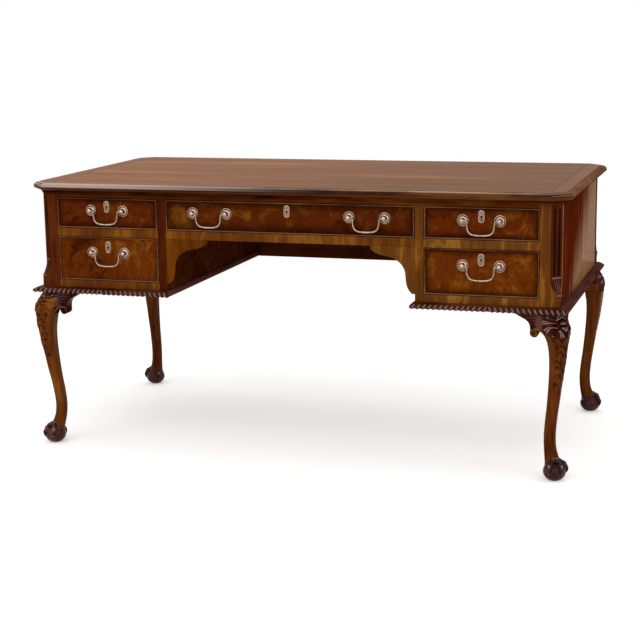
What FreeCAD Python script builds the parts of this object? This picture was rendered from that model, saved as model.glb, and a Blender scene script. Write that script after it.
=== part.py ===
import FreeCAD, Part
import math
import os
import re

# Kneehole writing desk, X to the right, front towards -Y, Z up, origin on the floor under the middle.

doc = FreeCAD.newDocument("KneeholeDesk")

SIZES = (
    ("top_overhang", 27.0),
    ("top_thick", 20.0),
    ("top_clip", 48.5),
    ("lip_width", 18.0),
    ("lip_fillet", 4.0),
    ("lip_under", 4.0),
    ("lip_quirk", 1.5),
    ("inlay_margin", 42.0),
    ("inlay_thick", 2.0),
    ("cove_height", 14.0),
    ("cove_reach", 15.0),
    ("cove_fillet", 2.0),
    ("case_length", 1502.0),
    ("case_depth", 760.0),
    ("kneehole_width", 720.0),
    ("stile_width", 24.0),
    ("post_width", 55.5),
    ("corner_cant", 27.5),
    ("cant_start", 88.0),
    ("cant_stop", 30.0),
    ("stop_rise", 54.0),
    ("flute_radius", 3.6),
    ("flute_spacing", 15.0),
    ("flute_end", 12.0),
    ("panel_thick", 18.0),
    ("rail_depth", 24.0),
    ("leg_height", 457.0),
    ("base_rail", 36.5),
    ("lower_opening", 127.5),
    ("mid_rail", 23.5),
    ("upper_opening", 88.5),
    ("top_rail", 22.0),
    ("dust_thick", 10.0),
    ("floor_thick", 18.0),
    ("guide_height", 18.0),
    ("kicker_width", 30.0),
    ("stop_length", 40.0),
    ("stop_width", 20.0),
    ("stop_height", 5.0),
    ("stop_inset", 45.0),
    ("moulding_height", 16.0),
    ("moulding_reach", 24.0),
    ("moulding_knee_reach", 11.0),
    ("spandrel_width", 124.0),
    ("spandrel_drop", 128.0),
    ("spandrel_thick", 18.0),
    ("spandrel_tip", 8.0),
    ("front_thick", 20.0),
    ("front_gap", 1.5),
    ("front_recess", 2.5),
    ("bead_width", 3.5),
    ("bead_proud", 1.0),
    ("wall_thick", 10.0),
    ("wall_gap", 1.0),
    ("wall_drop", 12.0),
    ("run_gap", 0.3),
    ("bottom_lift", 8.0),
    ("bottom_thick", 6.0),
    ("back_room", 40.0),
    ("lock_width", 44.0),
    ("lock_height", 36.0),
    ("lock_depth", 10.0),
    ("bolt_width", 16.0),
    ("bolt_thick", 4.0),
    ("bolt_length", 24.0),
    ("bolt_gap", 0.3),
    ("bolt_throw", 7.0),
    ("key_drop_upper", 25.5),
    ("key_drop_lower", 29.0),
    ("key_radius", 3.0),
    ("key_slot", 2.6),
    ("key_length", 8.0),
    ("plate_width", 17.5),
    ("plate_height", 34.0),
    ("plate_thick", 1.4),
    ("pull_spacing", 99.6),
    ("pull_drop_upper", 36.5),
    ("pull_drop_lower", 45.0),
    ("centre_pull", 227.0),
    ("rosette_radius", 16.0),
    ("rosette_rim", 2.0),
    ("rosette_dome", 4.5),
    ("head_radius", 6.0),
    ("head_length", 13.0),
    ("shank_radius", 3.0),
    ("shank_gap", 0.2),
    ("nut_width", 11.0),
    ("nut_thick", 5.0),
    ("pivot_reach", 13.0),
    ("pin_gap", 0.35),
    ("wire_radius", 2.7),
    ("bail_gap", 1.0),
    ("bail_bend", 6.0),
    ("bail_corner", 20.0),
    ("bail_drop", 38.0),
    ("knee_width", 64.0),
    ("ankle_width", 29.0),
    ("dowel_radius", 12.0),
    ("dowel_length", 40.0),
    ("ball_radius", 26.0),
    ("ball_flat", 2.5),
    ("foot_inset", 12.0),
    ("toe_radius", 7.5),
    ("toe_path", 27.5),
    ("bracket_length", 66.0),
    ("bracket_drop", 67.0),
    ("bracket_tip", 3.0),
    ("bracket_thick", 30.0),
    ("bracket_proud", 9.0),
    ("overrun", 5.0),
)

sheet = doc.addObject("Spreadsheet::Sheet", "Sizes")
for row, (alias, number) in enumerate(SIZES, start=1):
    cell = "B{}".format(row)
    sheet.set("A{}".format(row), alias)
    sheet.set(cell, str(number))
    sheet.setAlias(cell, alias)
doc.recompute()

# Places worked out from the sizes; they are bound to the sheet as everything else is.
PLACES = (
    ("half_case", "case_length / 2"),
    ("half_deep", "case_depth / 2"),
    ("half_knee", "kneehole_width / 2"),
    ("stile_out", "half_knee + stile_width"),
    ("post_in", "half_case - post_width"),
    ("knee_panel_out", "half_knee + panel_thick"),
    ("end_panel_in", "half_case - panel_thick"),
    ("rail_back", "rail_depth - half_deep"),
    ("back_in", "half_deep - panel_thick"),
    ("lower_bottom", "leg_height + base_rail"),
    ("lower_top", "lower_bottom + lower_opening"),
    ("upper_bottom", "lower_top + mid_rail"),
    ("upper_top", "upper_bottom + upper_opening"),
    ("case_top", "upper_top + top_rail"),
    ("desk_height", "case_top + top_thick"),
    ("panel_half_length", "half_case + top_overhang - lip_width"),
    ("panel_half_depth", "half_deep + top_overhang - lip_width"),
    ("front_back", "front_thick - half_deep"),
    ("wall_back", "back_in - back_room"),
    ("wall_length", "wall_back - front_back"),
    ("face_line", "front_recess - half_deep"),
    ("pivot_line", "face_line - pivot_reach"),
    ("half_pull", "pull_spacing / 2"),
    ("board_trim", "front_gap + bead_width"),
)

places = doc.addObject("App::FeaturePython", "Places")
SIZE_NAMES = {alias for alias, number in SIZES}
PLACE_NAMES = {name for name, text in PLACES}


def tied(text):
    """Point each name in an expression at the sheet or at the derived places."""
    def owner(match):
        word = match.group(0)
        if word in SIZE_NAMES:
            return "Sizes." + word
        return "Places." + word if word in PLACE_NAMES else word
    return re.sub(r"[a-z_]+", owner, text)


for name, text in PLACES:
    places.addProperty("App::PropertyFloat", name)
    places.setExpression(name, tied(text))
    doc.recompute()


def at(name):
    """The present number of a size or a derived place, for shapes that no primitive gives."""
    return getattr(sheet if name in SIZE_NAMES else places, name)


def bind(item, **texts):
    """Bind properties to expressions; x, y and z stand for the placement's base."""
    for key, text in texts.items():
        target = "Placement.Base." + key if key in ("x", "y", "z") else key
        item.setExpression(target, tied(text))
    return item


def box(name, spans):
    """A board between two expressions along each axis: ((x0, x1), (y0, y1), (z0, z1))."""
    item = doc.addObject("Part::Box", name)
    for side, key, (low, high) in zip(("Length", "Width", "Height"), "xyz", spans):
        bind(item, **{side: "({}) - ({})".format(high, low), key: low})
    return item


TURNS = {
    "x": FreeCAD.Rotation(FreeCAD.Vector(0, 1, 0), 90),
    "y": FreeCAD.Rotation(FreeCAD.Vector(1, 0, 0), 90),
    "z": FreeCAD.Rotation(),
}


def rod(name, radius, length, axis, spot):
    """A cylinder from spot along +X, -Y or +Z."""
    item = doc.addObject("Part::Cylinder", name)
    item.Placement = FreeCAD.Placement(FreeCAD.Vector(), TURNS[axis])
    bind(item, Radius=radius, Height=length)
    return bind(item, **dict(zip("xyz", spot)))


def cone(name, low, high, length, spot):
    """A cone from spot along -Y."""
    item = doc.addObject("Part::Cone", name)
    item.Placement = FreeCAD.Placement(FreeCAD.Vector(), TURNS["y"])
    bind(item, Radius1=low, Radius2=high, Height=length)
    return bind(item, **dict(zip("xyz", spot)))


def joined(name, items):
    """One solid from pieces that overlap or share a face."""
    item = doc.addObject("Part::MultiFuse", name)
    item.Shapes = list(items)
    item.Refine = True
    return item


def less(name, base, tools):
    """A piece with its mortises or holes cut."""
    tools = list(tools)
    item = doc.addObject("Part::Cut", name)
    item.Base = base
    item.Tool = tools[0] if len(tools) == 1 else joined(name + "_tools", tools)
    return item


def group(name, items):
    """Separate solids that share one node."""
    item = doc.addObject("Part::Compound", name)
    item.Links = list(items)
    return item


def shaped(name, shape):
    """A shape of Part's own functions as a document object."""
    item = doc.addObject("Part::Feature", name)
    item.Shape = shape
    return item


nodes = {}


def node(name, item):
    """Keep a finished sub-part under the name of its file."""
    item.Label = name
    nodes[name] = item
    return item


def negative(text):
    return "-({})".format(text)


def sided(side, span):
    """A span along X on the right-hand half, or its mirror on the left."""
    low, high = span
    return (low, high) if side == "right" else (negative(high), negative(low))


SIDES = ("left", "right")
SIGNS = {"left": -1, "right": 1}

# Top: a clipped panel, its veneered field, the moulded lip and the cove under it.


def clipped(half_x, half_y, clip, level):
    """The corner points of a rectangle with clipped corners, from the middle of the front edge."""
    return [
        FreeCAD.Vector(x, y, level)
        for x, y in (
            (0, -half_y),
            (half_x - clip, -half_y),
            (half_x, clip - half_y),
            (half_x, half_y - clip),
            (half_x - clip, half_y),
            (clip - half_x, half_y),
            (-half_x, half_y - clip),
            (-half_x, clip - half_y),
            (clip - half_x, -half_y),
        )
    ]


def loop(points):
    return Part.makePolygon(list(points) + [points[0]])


def moulded(points, profile):
    """Sweep a closed profile round a clipped outline with mitred corners."""
    return loop(points).makePipeShell([profile], True, False, 1)


def closed(edges):
    return Part.Wire(Part.__sortEdges__(edges))


def line(start, end):
    return Part.makeLine(start, end)


def arc(start, through, end):
    return Part.Arc(start, through, end).toShape()


panel_x = at("panel_half_length")
panel_y = at("panel_half_depth")
# A clipped corner keeps its faces parallel when it is offset, so its clip changes by this share.
CLIP_OFFSET_SHARE = 2 - math.sqrt(2)
panel_clip = at("top_clip") - at("lip_width") * CLIP_OFFSET_SHARE
panel_outline = clipped(panel_x, panel_y, panel_clip, at("case_top"))
panel_block = Part.Face(loop(panel_outline)).extrude(FreeCAD.Vector(0, 0, at("top_thick")))
panel_solid = shaped("PanelBlock", panel_block)
field = {
    "x": "panel_half_length - inlay_margin",
    "y": "panel_half_depth - inlay_margin",
}
field_spans = (
    (negative(field["x"]), field["x"]),
    (negative(field["y"]), field["y"]),
    ("desk_height - inlay_thick", "desk_height"),
)
field_cut = box("FieldCut", field_spans[:2] + (("desk_height - inlay_thick", "desk_height + overrun"),))
node("top_panel", less("TopPanel", panel_solid, [field_cut]))
node("top_field", box("TopField", field_spans))


def lip_profile():
    """The thumb moulding of the top's edge, in the plane across the front edge."""
    def spot(out, level):
        return FreeCAD.Vector(0, -panel_y - out, level)
    low = at("case_top")
    high = at("desk_height")
    quirk = at("lip_quirk")
    reach = at("lip_width")
    nose_low = low + at("lip_under")
    nose_high = nose_low + at("lip_fillet")
    bulge_share = math.sqrt(0.5)
    round_x = reach - quirk
    round_z = high - quirk - nose_high
    through = spot(quirk + round_x * bulge_share, nose_high + round_z * bulge_share)
    return closed([
        line(spot(0, low), spot(0, high)),
        line(spot(0, high), spot(quirk, high)),
        line(spot(quirk, high), spot(quirk, high - quirk)),
        arc(spot(quirk, high - quirk), through, spot(reach, nose_high)),
        line(spot(reach, nose_high), spot(reach, nose_low)),
        line(spot(reach, nose_low), spot(reach - at("lip_under"), low)),
        line(spot(reach - at("lip_under"), low), spot(0, low)),
    ])


def cove_profile():
    """The hollow moulding between the case and the top."""
    def spot(out, level):
        return FreeCAD.Vector(0, -at("half_deep") - out, level)
    high = at("case_top")
    low = high - at("cove_height")
    fillet = at("cove_fillet")
    reach = at("cove_reach")
    hollow_share = 1 - math.sqrt(0.5)
    through = spot(
        fillet + (reach - fillet) * hollow_share,
        high - fillet - (at("cove_height") - fillet) * hollow_share,
    )
    return closed([
        line(spot(0, low), spot(0, high)),
        line(spot(0, high), spot(reach, high)),
        line(spot(reach, high), spot(reach, high - fillet)),
        arc(spot(reach, high - fillet), through, spot(fillet, low)),
        line(spot(fillet, low), spot(0, low)),
    ])


node("top_edge_moulding", shaped("TopLip", moulded(panel_outline, lip_profile())))
case_outline = clipped(at("half_case"), at("half_deep"), at("corner_cant"), at("case_top"))
node("top_cove_moulding", shaped("TopCove", moulded(case_outline, cove_profile())))

# Corner posts: canted, fluted, with a curved stop low on the cant, bored for the leg's dowel.


def cant_cut():
    """What the cant removes from a post's outer corner, drawn across the corner's diagonal."""
    low = at("leg_height") + at("cant_stop")
    high = low + at("stop_rise")
    top = at("case_top") + at("overrun")
    deep = at("corner_cant") * math.sqrt(0.5)
    out = at("overrun")
    bend_share = 0.25

    def spot(inwards, level):
        step = inwards * math.sqrt(0.5)
        return FreeCAD.Vector(at("half_case") - step, step - at("half_deep"), level)

    middle = spot(deep / 2, (low + high) / 2)
    rise = at("stop_rise")
    outline = closed([
        line(spot(-out, low), spot(0, low)),
        arc(spot(0, low), spot(deep * bend_share / 2, low + rise * bend_share), middle),
        arc(middle, spot(deep - deep * bend_share / 2, high - rise * bend_share), spot(deep, high)),
        line(spot(deep, high), spot(deep, top)),
        line(spot(deep, top), spot(-out, top)),
        line(spot(-out, top), spot(-out, low)),
    ])
    side = FreeCAD.Vector(1, 1, 0).normalize() * at("post_width")
    solid = Part.Face(outline).extrude(side * 2)
    solid.translate(-side)
    return solid


def flutes():
    """Two round-ended grooves along the cant."""
    low = at("leg_height") + at("cant_start") + at("flute_end")
    high = at("case_top") - at("cove_height") - at("flute_end")
    side = FreeCAD.Vector(1, 1, 0).normalize() * (at("flute_spacing") / 2)
    middle = FreeCAD.Vector(
        at("half_case") - at("corner_cant") / 2, at("corner_cant") / 2 - at("half_deep"), low
    )
    up = FreeCAD.Vector(0, 0, 1)
    grooves = []
    for step in (side, -side):
        grooves.append(Part.makeCylinder(at("flute_radius"), high - low, middle + step, up))
        for level in (low, high):
            end = FreeCAD.Vector(middle.x + step.x, middle.y + step.y, level)
            grooves.append(Part.makeSphere(at("flute_radius"), end))
    return grooves


ORIGIN = FreeCAD.Vector(0, 0, 0)
FLIPS = {"front": 1, "back": -1}


def placed(shape, side, end):
    """A front right shape, mirrored to the corner asked for."""
    result = shape.copy()
    if side == "left":
        result = result.mirror(ORIGIN, FreeCAD.Vector(1, 0, 0))
    if end == "back":
        result = result.mirror(ORIGIN, FreeCAD.Vector(0, 1, 0))
    return result


def corner_post():
    wide = at("post_width")
    low = at("leg_height")
    post = Part.makeBox(
        wide, wide, at("case_top") - low, FreeCAD.Vector(at("post_in"), -at("half_deep"), low)
    )
    post = post.cut(cant_cut())
    for groove in flutes():
        post = post.cut(groove)
    middle = FreeCAD.Vector(at("post_in") + wide / 2, wide / 2 - at("half_deep"), low)
    up = FreeCAD.Vector(0, 0, 1)
    return post.cut(Part.makeCylinder(at("dowel_radius"), at("dowel_length"), middle, up))


post_shape = corner_post()
for end in FLIPS:
    pair = [shaped("{}_{}_post".format(end, side), placed(post_shape, side, end)) for side in SIDES]
    node("{}_corner_posts".format(end), group("{}_posts".format(end), pair))

# Legs: cabriole, from a knee under the corner post to a claw-and-ball foot.
# Each row: height as a share of the leg, inset of the middle as a share of the post's width,
# width as a share from the ankle's (0) to the knee's (1), corner radius as a share of half the width.
LEG_ROW_SHARES = (
    (1.000, 0.480, 0.74, 0.20),
    (0.960, 0.330, 0.92, 0.30),
    (0.915, 0.180, 1.00, 0.42),
    (0.875, 0.110, 0.90, 0.50),
    (0.820, 0.080, 0.68, 0.55),
    (0.745, 0.080, 0.50, 0.60),
    (0.665, 0.125, 0.36, 0.65),
    (0.585, 0.190, 0.25, 0.70),
    (0.500, 0.245, 0.17, 0.75),
    (0.420, 0.315, 0.10, 0.80),
    (0.335, 0.380, 0.04, 0.85),
    (0.255, 0.430, 0.00, 0.88),
    (0.175, 0.425, 0.03, 0.88),
    (0.120, 0.350, 0.16, 0.88),
    (0.085, 0.280, 0.26, 0.88),
)


def rounded_square(middle, half, radius):
    """A square with round corners as four lines and four arcs."""
    bend = radius * math.sqrt(0.5)
    edges = []
    core = half - radius
    for turn in range(4):
        spin = FreeCAD.Rotation(FreeCAD.Vector(0, 0, 1), 90 * turn)
        points = [
            FreeCAD.Vector(half, -core, 0),
            FreeCAD.Vector(half, core, 0),
            FreeCAD.Vector(core + bend, core + bend, 0),
            FreeCAD.Vector(core, half, 0),
        ]
        points = [middle + spin.multVec(point) for point in points]
        edges.append(line(points[0], points[1]))
        edges.append(arc(points[1], points[2], points[3]))
    return Part.Wire(edges)


def corner_inset(inset, level):
    """A place on the front right corner's diagonal, inset alike along X and Y."""
    return FreeCAD.Vector(at("half_case") - inset, inset - at("half_deep"), level)


def leg():
    """One cabriole leg with its dowel, ball and four toes, front right."""
    sections = []
    for rise, inset, width, corner in LEG_ROW_SHARES:
        span = at("ankle_width") + (at("knee_width") - at("ankle_width")) * width
        middle = corner_inset(inset * at("post_width"), rise * at("leg_height"))
        sections.append(rounded_square(middle, span / 2, corner * span / 2))
    shin = Part.makeLoft(sections, True, False)
    up = FreeCAD.Vector(0, 0, 1)
    socket = corner_inset(at("post_width") / 2, at("leg_height") - at("overrun"))
    dowel = Part.makeCylinder(at("dowel_radius"), at("dowel_length") + at("overrun"), socket, up)
    middle = corner_inset(at("foot_inset"), at("ball_radius") - at("ball_flat"))
    ball = Part.makeSphere(at("ball_radius"), middle)
    toes = []
    for turn in (-45, 40, 135, -130):
        ring = Part.makeTorus(
            at("toe_path"), at("toe_radius"), FreeCAD.Vector(), FreeCAD.Vector(0, -1, 0), 0, 360, 90
        )
        ring.rotate(FreeCAD.Vector(), FreeCAD.Vector(0, 0, 1), turn)
        ring.translate(middle)
        toes.append(ring)
    whole = shin.multiFuse([dowel, ball] + toes)
    reach = at("foot_inset") + at("toe_path") + at("post_width")
    ground = Part.makeBox(
        reach * 2, reach * 2, reach, corner_inset(0, 0) - FreeCAD.Vector(reach, reach, reach)
    )
    return whole.cut(ground)


leg_shape = leg()
for end in FLIPS:
    for side in SIDES:
        name = "{}_{}_leg".format(end, side)
        node(name, shaped(name, placed(leg_shape, side, end)))


# The scroll ear's outline: across as shares of the bracket's length from the post, down as shares of its drop.
EAR_POINT_SHARES = {
    "hollow": (0.60, 0.25),
    "neck": (0.41, 0.57),
    "scroll_out": (0.38, 0.78),
    "scroll_low": (0.23, 1.00),
    "scroll_in": (0.085, 0.80),
    "arch_top": (0.03, 0.70),
    "arch": (-0.14, 0.90),
    "root": (-0.30, 1.36),
}


def bracket():
    """A knee bracket with a scroll ear beside the leg along the front, fitted to the leg's knee."""
    top = at("leg_height")
    near = at("half_case") - at("post_width") / 2
    front = -at("half_deep") - at("bracket_proud")

    def spot(x, level):
        return FreeCAD.Vector(x, front, level)

    ear = {
        key: spot(at("post_in") - across * at("bracket_length"), top - down * at("bracket_drop"))
        for key, (across, down) in EAR_POINT_SHARES.items()
    }
    far = at("post_in") - at("bracket_length")
    tip = spot(far, top - at("bracket_tip"))
    heel = spot(near, ear["root"].z)
    outline = closed([
        line(spot(near, top), spot(far, top)),
        line(spot(far, top), tip),
        arc(tip, ear["hollow"], ear["neck"]),
        line(ear["neck"], ear["scroll_out"]),
        arc(ear["scroll_out"], ear["scroll_low"], ear["scroll_in"]),
        line(ear["scroll_in"], ear["arch_top"]),
        arc(ear["arch_top"], ear["arch"], ear["root"]),
        line(ear["root"], heel),
        line(heel, spot(near, top)),
    ])
    solid = Part.Face(outline).extrude(FreeCAD.Vector(0, at("bracket_thick"), 0)).cut(leg_shape)
    return min(solid.Solids, key=lambda piece: piece.BoundBox.XMin)


bracket_front = bracket()
corner = corner_inset(0, 0)
bracket_side = bracket_front.mirror(corner, FreeCAD.Vector(1, 1, 0).normalize())
brackets = []
for end in FLIPS:
    for side in SIDES:
        for label, shape in (("front", bracket_front), ("side", bracket_side)):
            name = "{}_{}_{}_bracket".format(end, side, label)
            brackets.append(shaped(name, placed(shape, side, end)))
node("knee_brackets", group("KneeBrackets", brackets))

# Panels, rails and stiles of the case.
full_height = ("leg_height", "case_top")
end_panels = [
    box(
        side + "_end",
        (sided(side, ("end_panel_in", "half_case")), ("post_width - half_deep", "half_deep - post_width"), full_height),
    )
    for side in SIDES
]
node("end_panels", group("EndPanels", end_panels))
kneehole_panels = [
    box(side + "_knee", (sided(side, ("half_knee", "knee_panel_out")), ("rail_back", "half_deep"), full_height))
    for side in SIDES
]
node("kneehole_panels", group("KneeholePanels", kneehole_panels))
back_panels = [
    box(side + "_back", (sided(side, ("knee_panel_out", "post_in")), ("back_in", "half_deep"), full_height))
    for side in SIDES
]
node("pedestal_backs", group("PedestalBacks", back_panels))
modesty_spans = (("-half_knee", "half_knee"), ("back_in", "half_deep"), full_height)
node("modesty_panel", box("ModestyPanel", modesty_spans))

stiles = [
    box(side + "_stile", (sided(side, ("half_knee", "stile_out")), ("-half_deep", "rail_back"), ("leg_height", "upper_top")))
    for side in SIDES
]
node("inner_stiles", group("InnerStiles", stiles))

# Drawers: where each opening lies, how its pulls are spread, and the drops of pulls and keyhole.
COLUMNS = {
    "left": ("-post_in", "-stile_out"),
    "centre": ("-half_knee", "half_knee"),
    "right": ("stile_out", "post_in"),
}
ROWS = {
    "upper": ("upper_bottom", "upper_top"),
    "lower": ("lower_bottom", "lower_top"),
}
DRAWERS = (
    ("left_upper", "left", "upper"),
    ("left_lower", "left", "lower"),
    ("centre", "centre", "upper"),
    ("right_upper", "right", "upper"),
    ("right_lower", "right", "lower"),
)


def middle_of(column):
    low, high = COLUMNS[column]
    return "(({}) + ({})) / 2".format(low, high)


def about(middle, width):
    return ("({}) - ({}) / 2".format(middle, width), "({}) + ({}) / 2".format(middle, width))


bolt_line = "front_back - lock_depth / 2"


def bolt_spans(column, clearance, low, high):
    """The bolt's section over the drawer's middle, with a clearance, between two levels."""
    return (
        about(middle_of(column), "bolt_width + 2 * ({})".format(clearance)),
        about(bolt_line, "bolt_thick + 2 * ({})".format(clearance)),
        (low, high),
    )


def mortise(name, column, row):
    """The rail's mortise for the bolt of the drawer below it."""
    top = ROWS[row][1]
    return box(name, bolt_spans(column, "bolt_gap", top + " - overrun", top + " + bolt_throw + bolt_gap"))


rail_y = ("-half_deep", "rail_back")
top_rail = box("TopRail", (("-post_in", "post_in"), rail_y, ("upper_top", "case_top")))
top_mortises = [mortise(column + "_top_mortise", column, "upper") for column in COLUMNS]
rails = [less("TopRailCut", top_rail, top_mortises)]
rails.append(box("KneeRail", (COLUMNS["centre"], rail_y, ("lower_top", "upper_bottom"))))
for side in SIDES:
    mid = box(side + "_mid_rail", (COLUMNS[side], rail_y, ("lower_top", "upper_bottom")))
    rails.append(less(side + "_mid_cut", mid, [mortise(side + "_mid_mortise", side, "lower")]))
    rails.append(box(side + "_base_rail", (COLUMNS[side], rail_y, ("leg_height", "lower_bottom"))))
node("front_rails", group("FrontRails", rails))

board_y = ("rail_back", "back_in")
boards = [box("CentreDust", (COLUMNS["centre"], board_y, ("upper_bottom - dust_thick", "upper_bottom")))]
guides = []
for side in SIDES:
    bay = sided(side, ("knee_panel_out", "post_in"))
    boards.append(box(side + "_dust", (bay, board_y, ("upper_bottom - dust_thick", "upper_bottom"))))
    boards.append(box(side + "_floor", (bay, board_y, ("lower_bottom - floor_thick", "lower_bottom"))))
    for row in ROWS:
        level = ROWS[row][0]
        rise = (level, level + " + guide_height")
        name = "{}_{}_".format(side, row)
        guides.append(box(name + "inner_guide", (sided(side, ("knee_panel_out", "stile_out")), board_y, rise)))
        outer_y = ("post_width - half_deep", "half_deep - post_width")
        guides.append(box(name + "outer_guide", (sided(side, ("post_in", "end_panel_in")), outer_y, rise)))
    kick_x = sided(side, ("stile_out", "stile_out + kicker_width"))
    kick_z = ("upper_top", "case_top")
    guides.append(box(side + "_inner_kicker", (kick_x, board_y, kick_z)))
    guides.append(box(side + "_outer_kicker", (sided(side, ("post_in - kicker_width", "post_in")), board_y, kick_z)))
    guides.append(box(side + "_knee_kicker", (sided(side, ("half_knee - kicker_width", "half_knee")), board_y, kick_z)))
node("dust_boards", group("DustBoards", boards))
node("drawer_guides", group("DrawerGuides", guides))

stops = []
for drawer, column, row in DRAWERS:
    low, high = COLUMNS[column]
    level = ROWS[row][0]
    for label, start in (("a", low + " + stop_inset"), ("b", high + " - stop_inset - stop_length")):
        spans = (
            (start, start + " + stop_length"),
            ("front_back + run_gap", "front_back + run_gap + stop_width"),
            (level, level + " + stop_height"),
        )
        stops.append(box("{}_stop_{}".format(drawer, label), spans))
node("drawer_stops", group("DrawerStops", stops))

# Base mouldings: a thumb section along the front, the ends and the sides of the kneehole.


def strip(start, along, out, reach):
    """A moulding strip from start along one way, standing out from its face."""
    height = at("moulding_height")
    shoulder = reach - height / 2

    def spot(outwards, rise):
        return start + out * outwards + FreeCAD.Vector(0, 0, rise)

    nose = spot(reach, height / 2)
    outline = closed([
        line(spot(0, 0), spot(0, height)),
        line(spot(0, height), spot(shoulder, height)),
        arc(spot(shoulder, height), nose, spot(shoulder, 0)),
        line(spot(shoulder, 0), spot(0, 0)),
    ])
    return Part.Face(outline).extrude(along)


reach = at("moulding_reach")
knee_reach = at("moulding_knee_reach")
front_strip = strip(
    FreeCAD.Vector(at("half_knee") - knee_reach, -at("half_deep"), at("leg_height")),
    FreeCAD.Vector(at("half_case") + reach - at("half_knee") + knee_reach, 0, 0),
    FreeCAD.Vector(0, -1, 0),
    reach,
)
end_strip = strip(
    FreeCAD.Vector(at("half_case"), -at("half_deep"), at("leg_height")),
    FreeCAD.Vector(0, at("case_depth"), 0),
    FreeCAD.Vector(1, 0, 0),
    reach,
)
knee_strip = strip(
    FreeCAD.Vector(at("half_knee"), -at("half_deep"), at("leg_height")),
    FreeCAD.Vector(0, at("case_depth") - at("panel_thick"), 0),
    FreeCAD.Vector(-1, 0, 0),
    knee_reach,
)
for side in SIDES:
    node(side + "_gadroon_moulding", shaped(side + "_front_strip", placed(front_strip, side, "front")))
plain = [
    shaped("{}_{}".format(side, label), placed(shape, side, "front"))
    for side in SIDES
    for label, shape in (("end_strip", end_strip), ("knee_strip", knee_strip))
]
node("plain_base_mouldings", group("PlainMouldings", plain))

# Spandrels: shaped brackets in the upper corners of the kneehole. Shares of their width and drop.
SPANDREL_POINT_SHARES = (
    (0.20, 0.18),
    (0.55, 0.27),
    (0.76, 0.48),
    (0.80, 0.74),
)


def spandrel():
    root = at("half_knee")
    top = at("lower_top")
    wide = at("spandrel_width")
    drop = at("spandrel_drop")
    tip = at("spandrel_tip")
    front = -at("half_deep")

    def spot(across, down):
        return FreeCAD.Vector(root - wide + across, front, top - down)

    curve = Part.BSplineCurve()
    inner = [spot(wide * across, drop * down) for across, down in SPANDREL_POINT_SHARES]
    curve.interpolate([spot(0, tip)] + inner + [spot(wide - tip, drop)])
    outline = closed([
        line(spot(0, 0), spot(wide, 0)),
        line(spot(wide, 0), spot(wide, drop)),
        line(spot(wide, drop), spot(wide - tip, drop)),
        curve.toShape(),
        line(spot(0, tip), spot(0, 0)),
    ])
    return Part.Face(outline).extrude(FreeCAD.Vector(0, at("spandrel_thick"), 0))


spandrel_shape = spandrel()
spandrels = [shaped(side + "_spandrel", placed(spandrel_shape, side, "front")) for side in SIDES]
node("kneehole_spandrels", group("Spandrels", spandrels))


def bail_shape(middle_x, level):
    """A drop handle's wire, its ends turned out into the post heads from between them."""
    half = at("half_pull")
    leg_x = half - at("head_radius") - at("bail_gap") - at("bail_bend")
    bend = at("bail_bend")
    turn = at("bail_corner")
    drop = at("bail_drop")
    soft = math.sqrt(0.5)

    def spot(x, rise):
        return FreeCAD.Vector(middle_x + x, at("pivot_line"), level + rise)

    def half_path(sign):
        return [
            line(spot(sign * half, 0), spot(sign * (leg_x + bend), 0)),
            arc(
                spot(sign * (leg_x + bend), 0),
                spot(sign * (leg_x + bend - bend * soft), bend * soft - bend),
                spot(sign * leg_x, -bend),
            ),
            line(spot(sign * leg_x, -bend), spot(sign * leg_x, turn - drop)),
            arc(
                spot(sign * leg_x, turn - drop),
                spot(sign * (leg_x - turn + turn * soft), turn - drop - turn * soft),
                spot(sign * (leg_x - turn), -drop),
            ),
        ]

    edges = half_path(-1) + [line(spot(turn - leg_x, -drop), spot(leg_x - turn, -drop))] + half_path(1)
    path = closed(edges)
    circle = Part.Circle(spot(-half, 0), FreeCAD.Vector(1, 0, 0), at("wire_radius"))
    return path.makePipeShell([Part.Wire(circle.toShape())], True, False)


def pull_posts(name, middle, level):
    """Both posts of one pull: rosette, head with its cross hole, shank and nut."""
    solids = []
    holes = []
    for label, spot_x in (("a", middle + " - half_pull"), ("b", middle + " + half_pull")):
        key = "{}_{}_".format(name, label)
        face = (spot_x, "face_line", level)
        rim_front = (spot_x, "face_line - rosette_rim", level)
        pieces = [
            rod(key + "rim", "rosette_radius", "rosette_rim", "y", face),
            cone(key + "dome", "rosette_radius", "head_radius", "rosette_dome", rim_front),
            rod(key + "head", "head_radius", "rosette_rim + head_length + head_radius / 2", "y", face),
            rod(key + "shank", "shank_radius", "front_thick + nut_thick", "y",
                (spot_x, "front_back + nut_thick", level)),
        ]
        cross = rod(key + "cross", "wire_radius + pin_gap", "4 * head_radius", "x",
                    (spot_x + " - 2 * head_radius", "pivot_line", level))
        solids.append(less(key + "post", joined(key + "body", pieces), [cross]))
        nut = box(key + "nut", (
            about(spot_x, "nut_width"), ("front_back", "front_back + nut_thick"), about(level, "nut_width")))
        bore = rod(key + "bore", "shank_radius", "nut_thick + 2 * overrun", "y",
                   (spot_x, "front_back + nut_thick + overrun", level))
        solids.append(less(key + "nut_cut", nut, [bore]))
        holes.append(rod(key + "hole", "shank_radius + shank_gap", "front_thick + 2 * overrun", "y",
                         (spot_x, "front_back + overrun", level)))
    return solids, holes


def keyhole(name, middle, level, start, length):
    """A round hole with a slot below it, as the tool that cuts a keyhole along -Y."""
    bow = rod(name + "_bow", "key_radius", length, "y", (middle, start, level))
    slot = box(name + "_slot", (
        about(middle, "key_slot"), ("({}) - ({})".format(start, length), start),
        ("{} - key_length".format(level), level)))
    return joined(name, [bow, slot])


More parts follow.
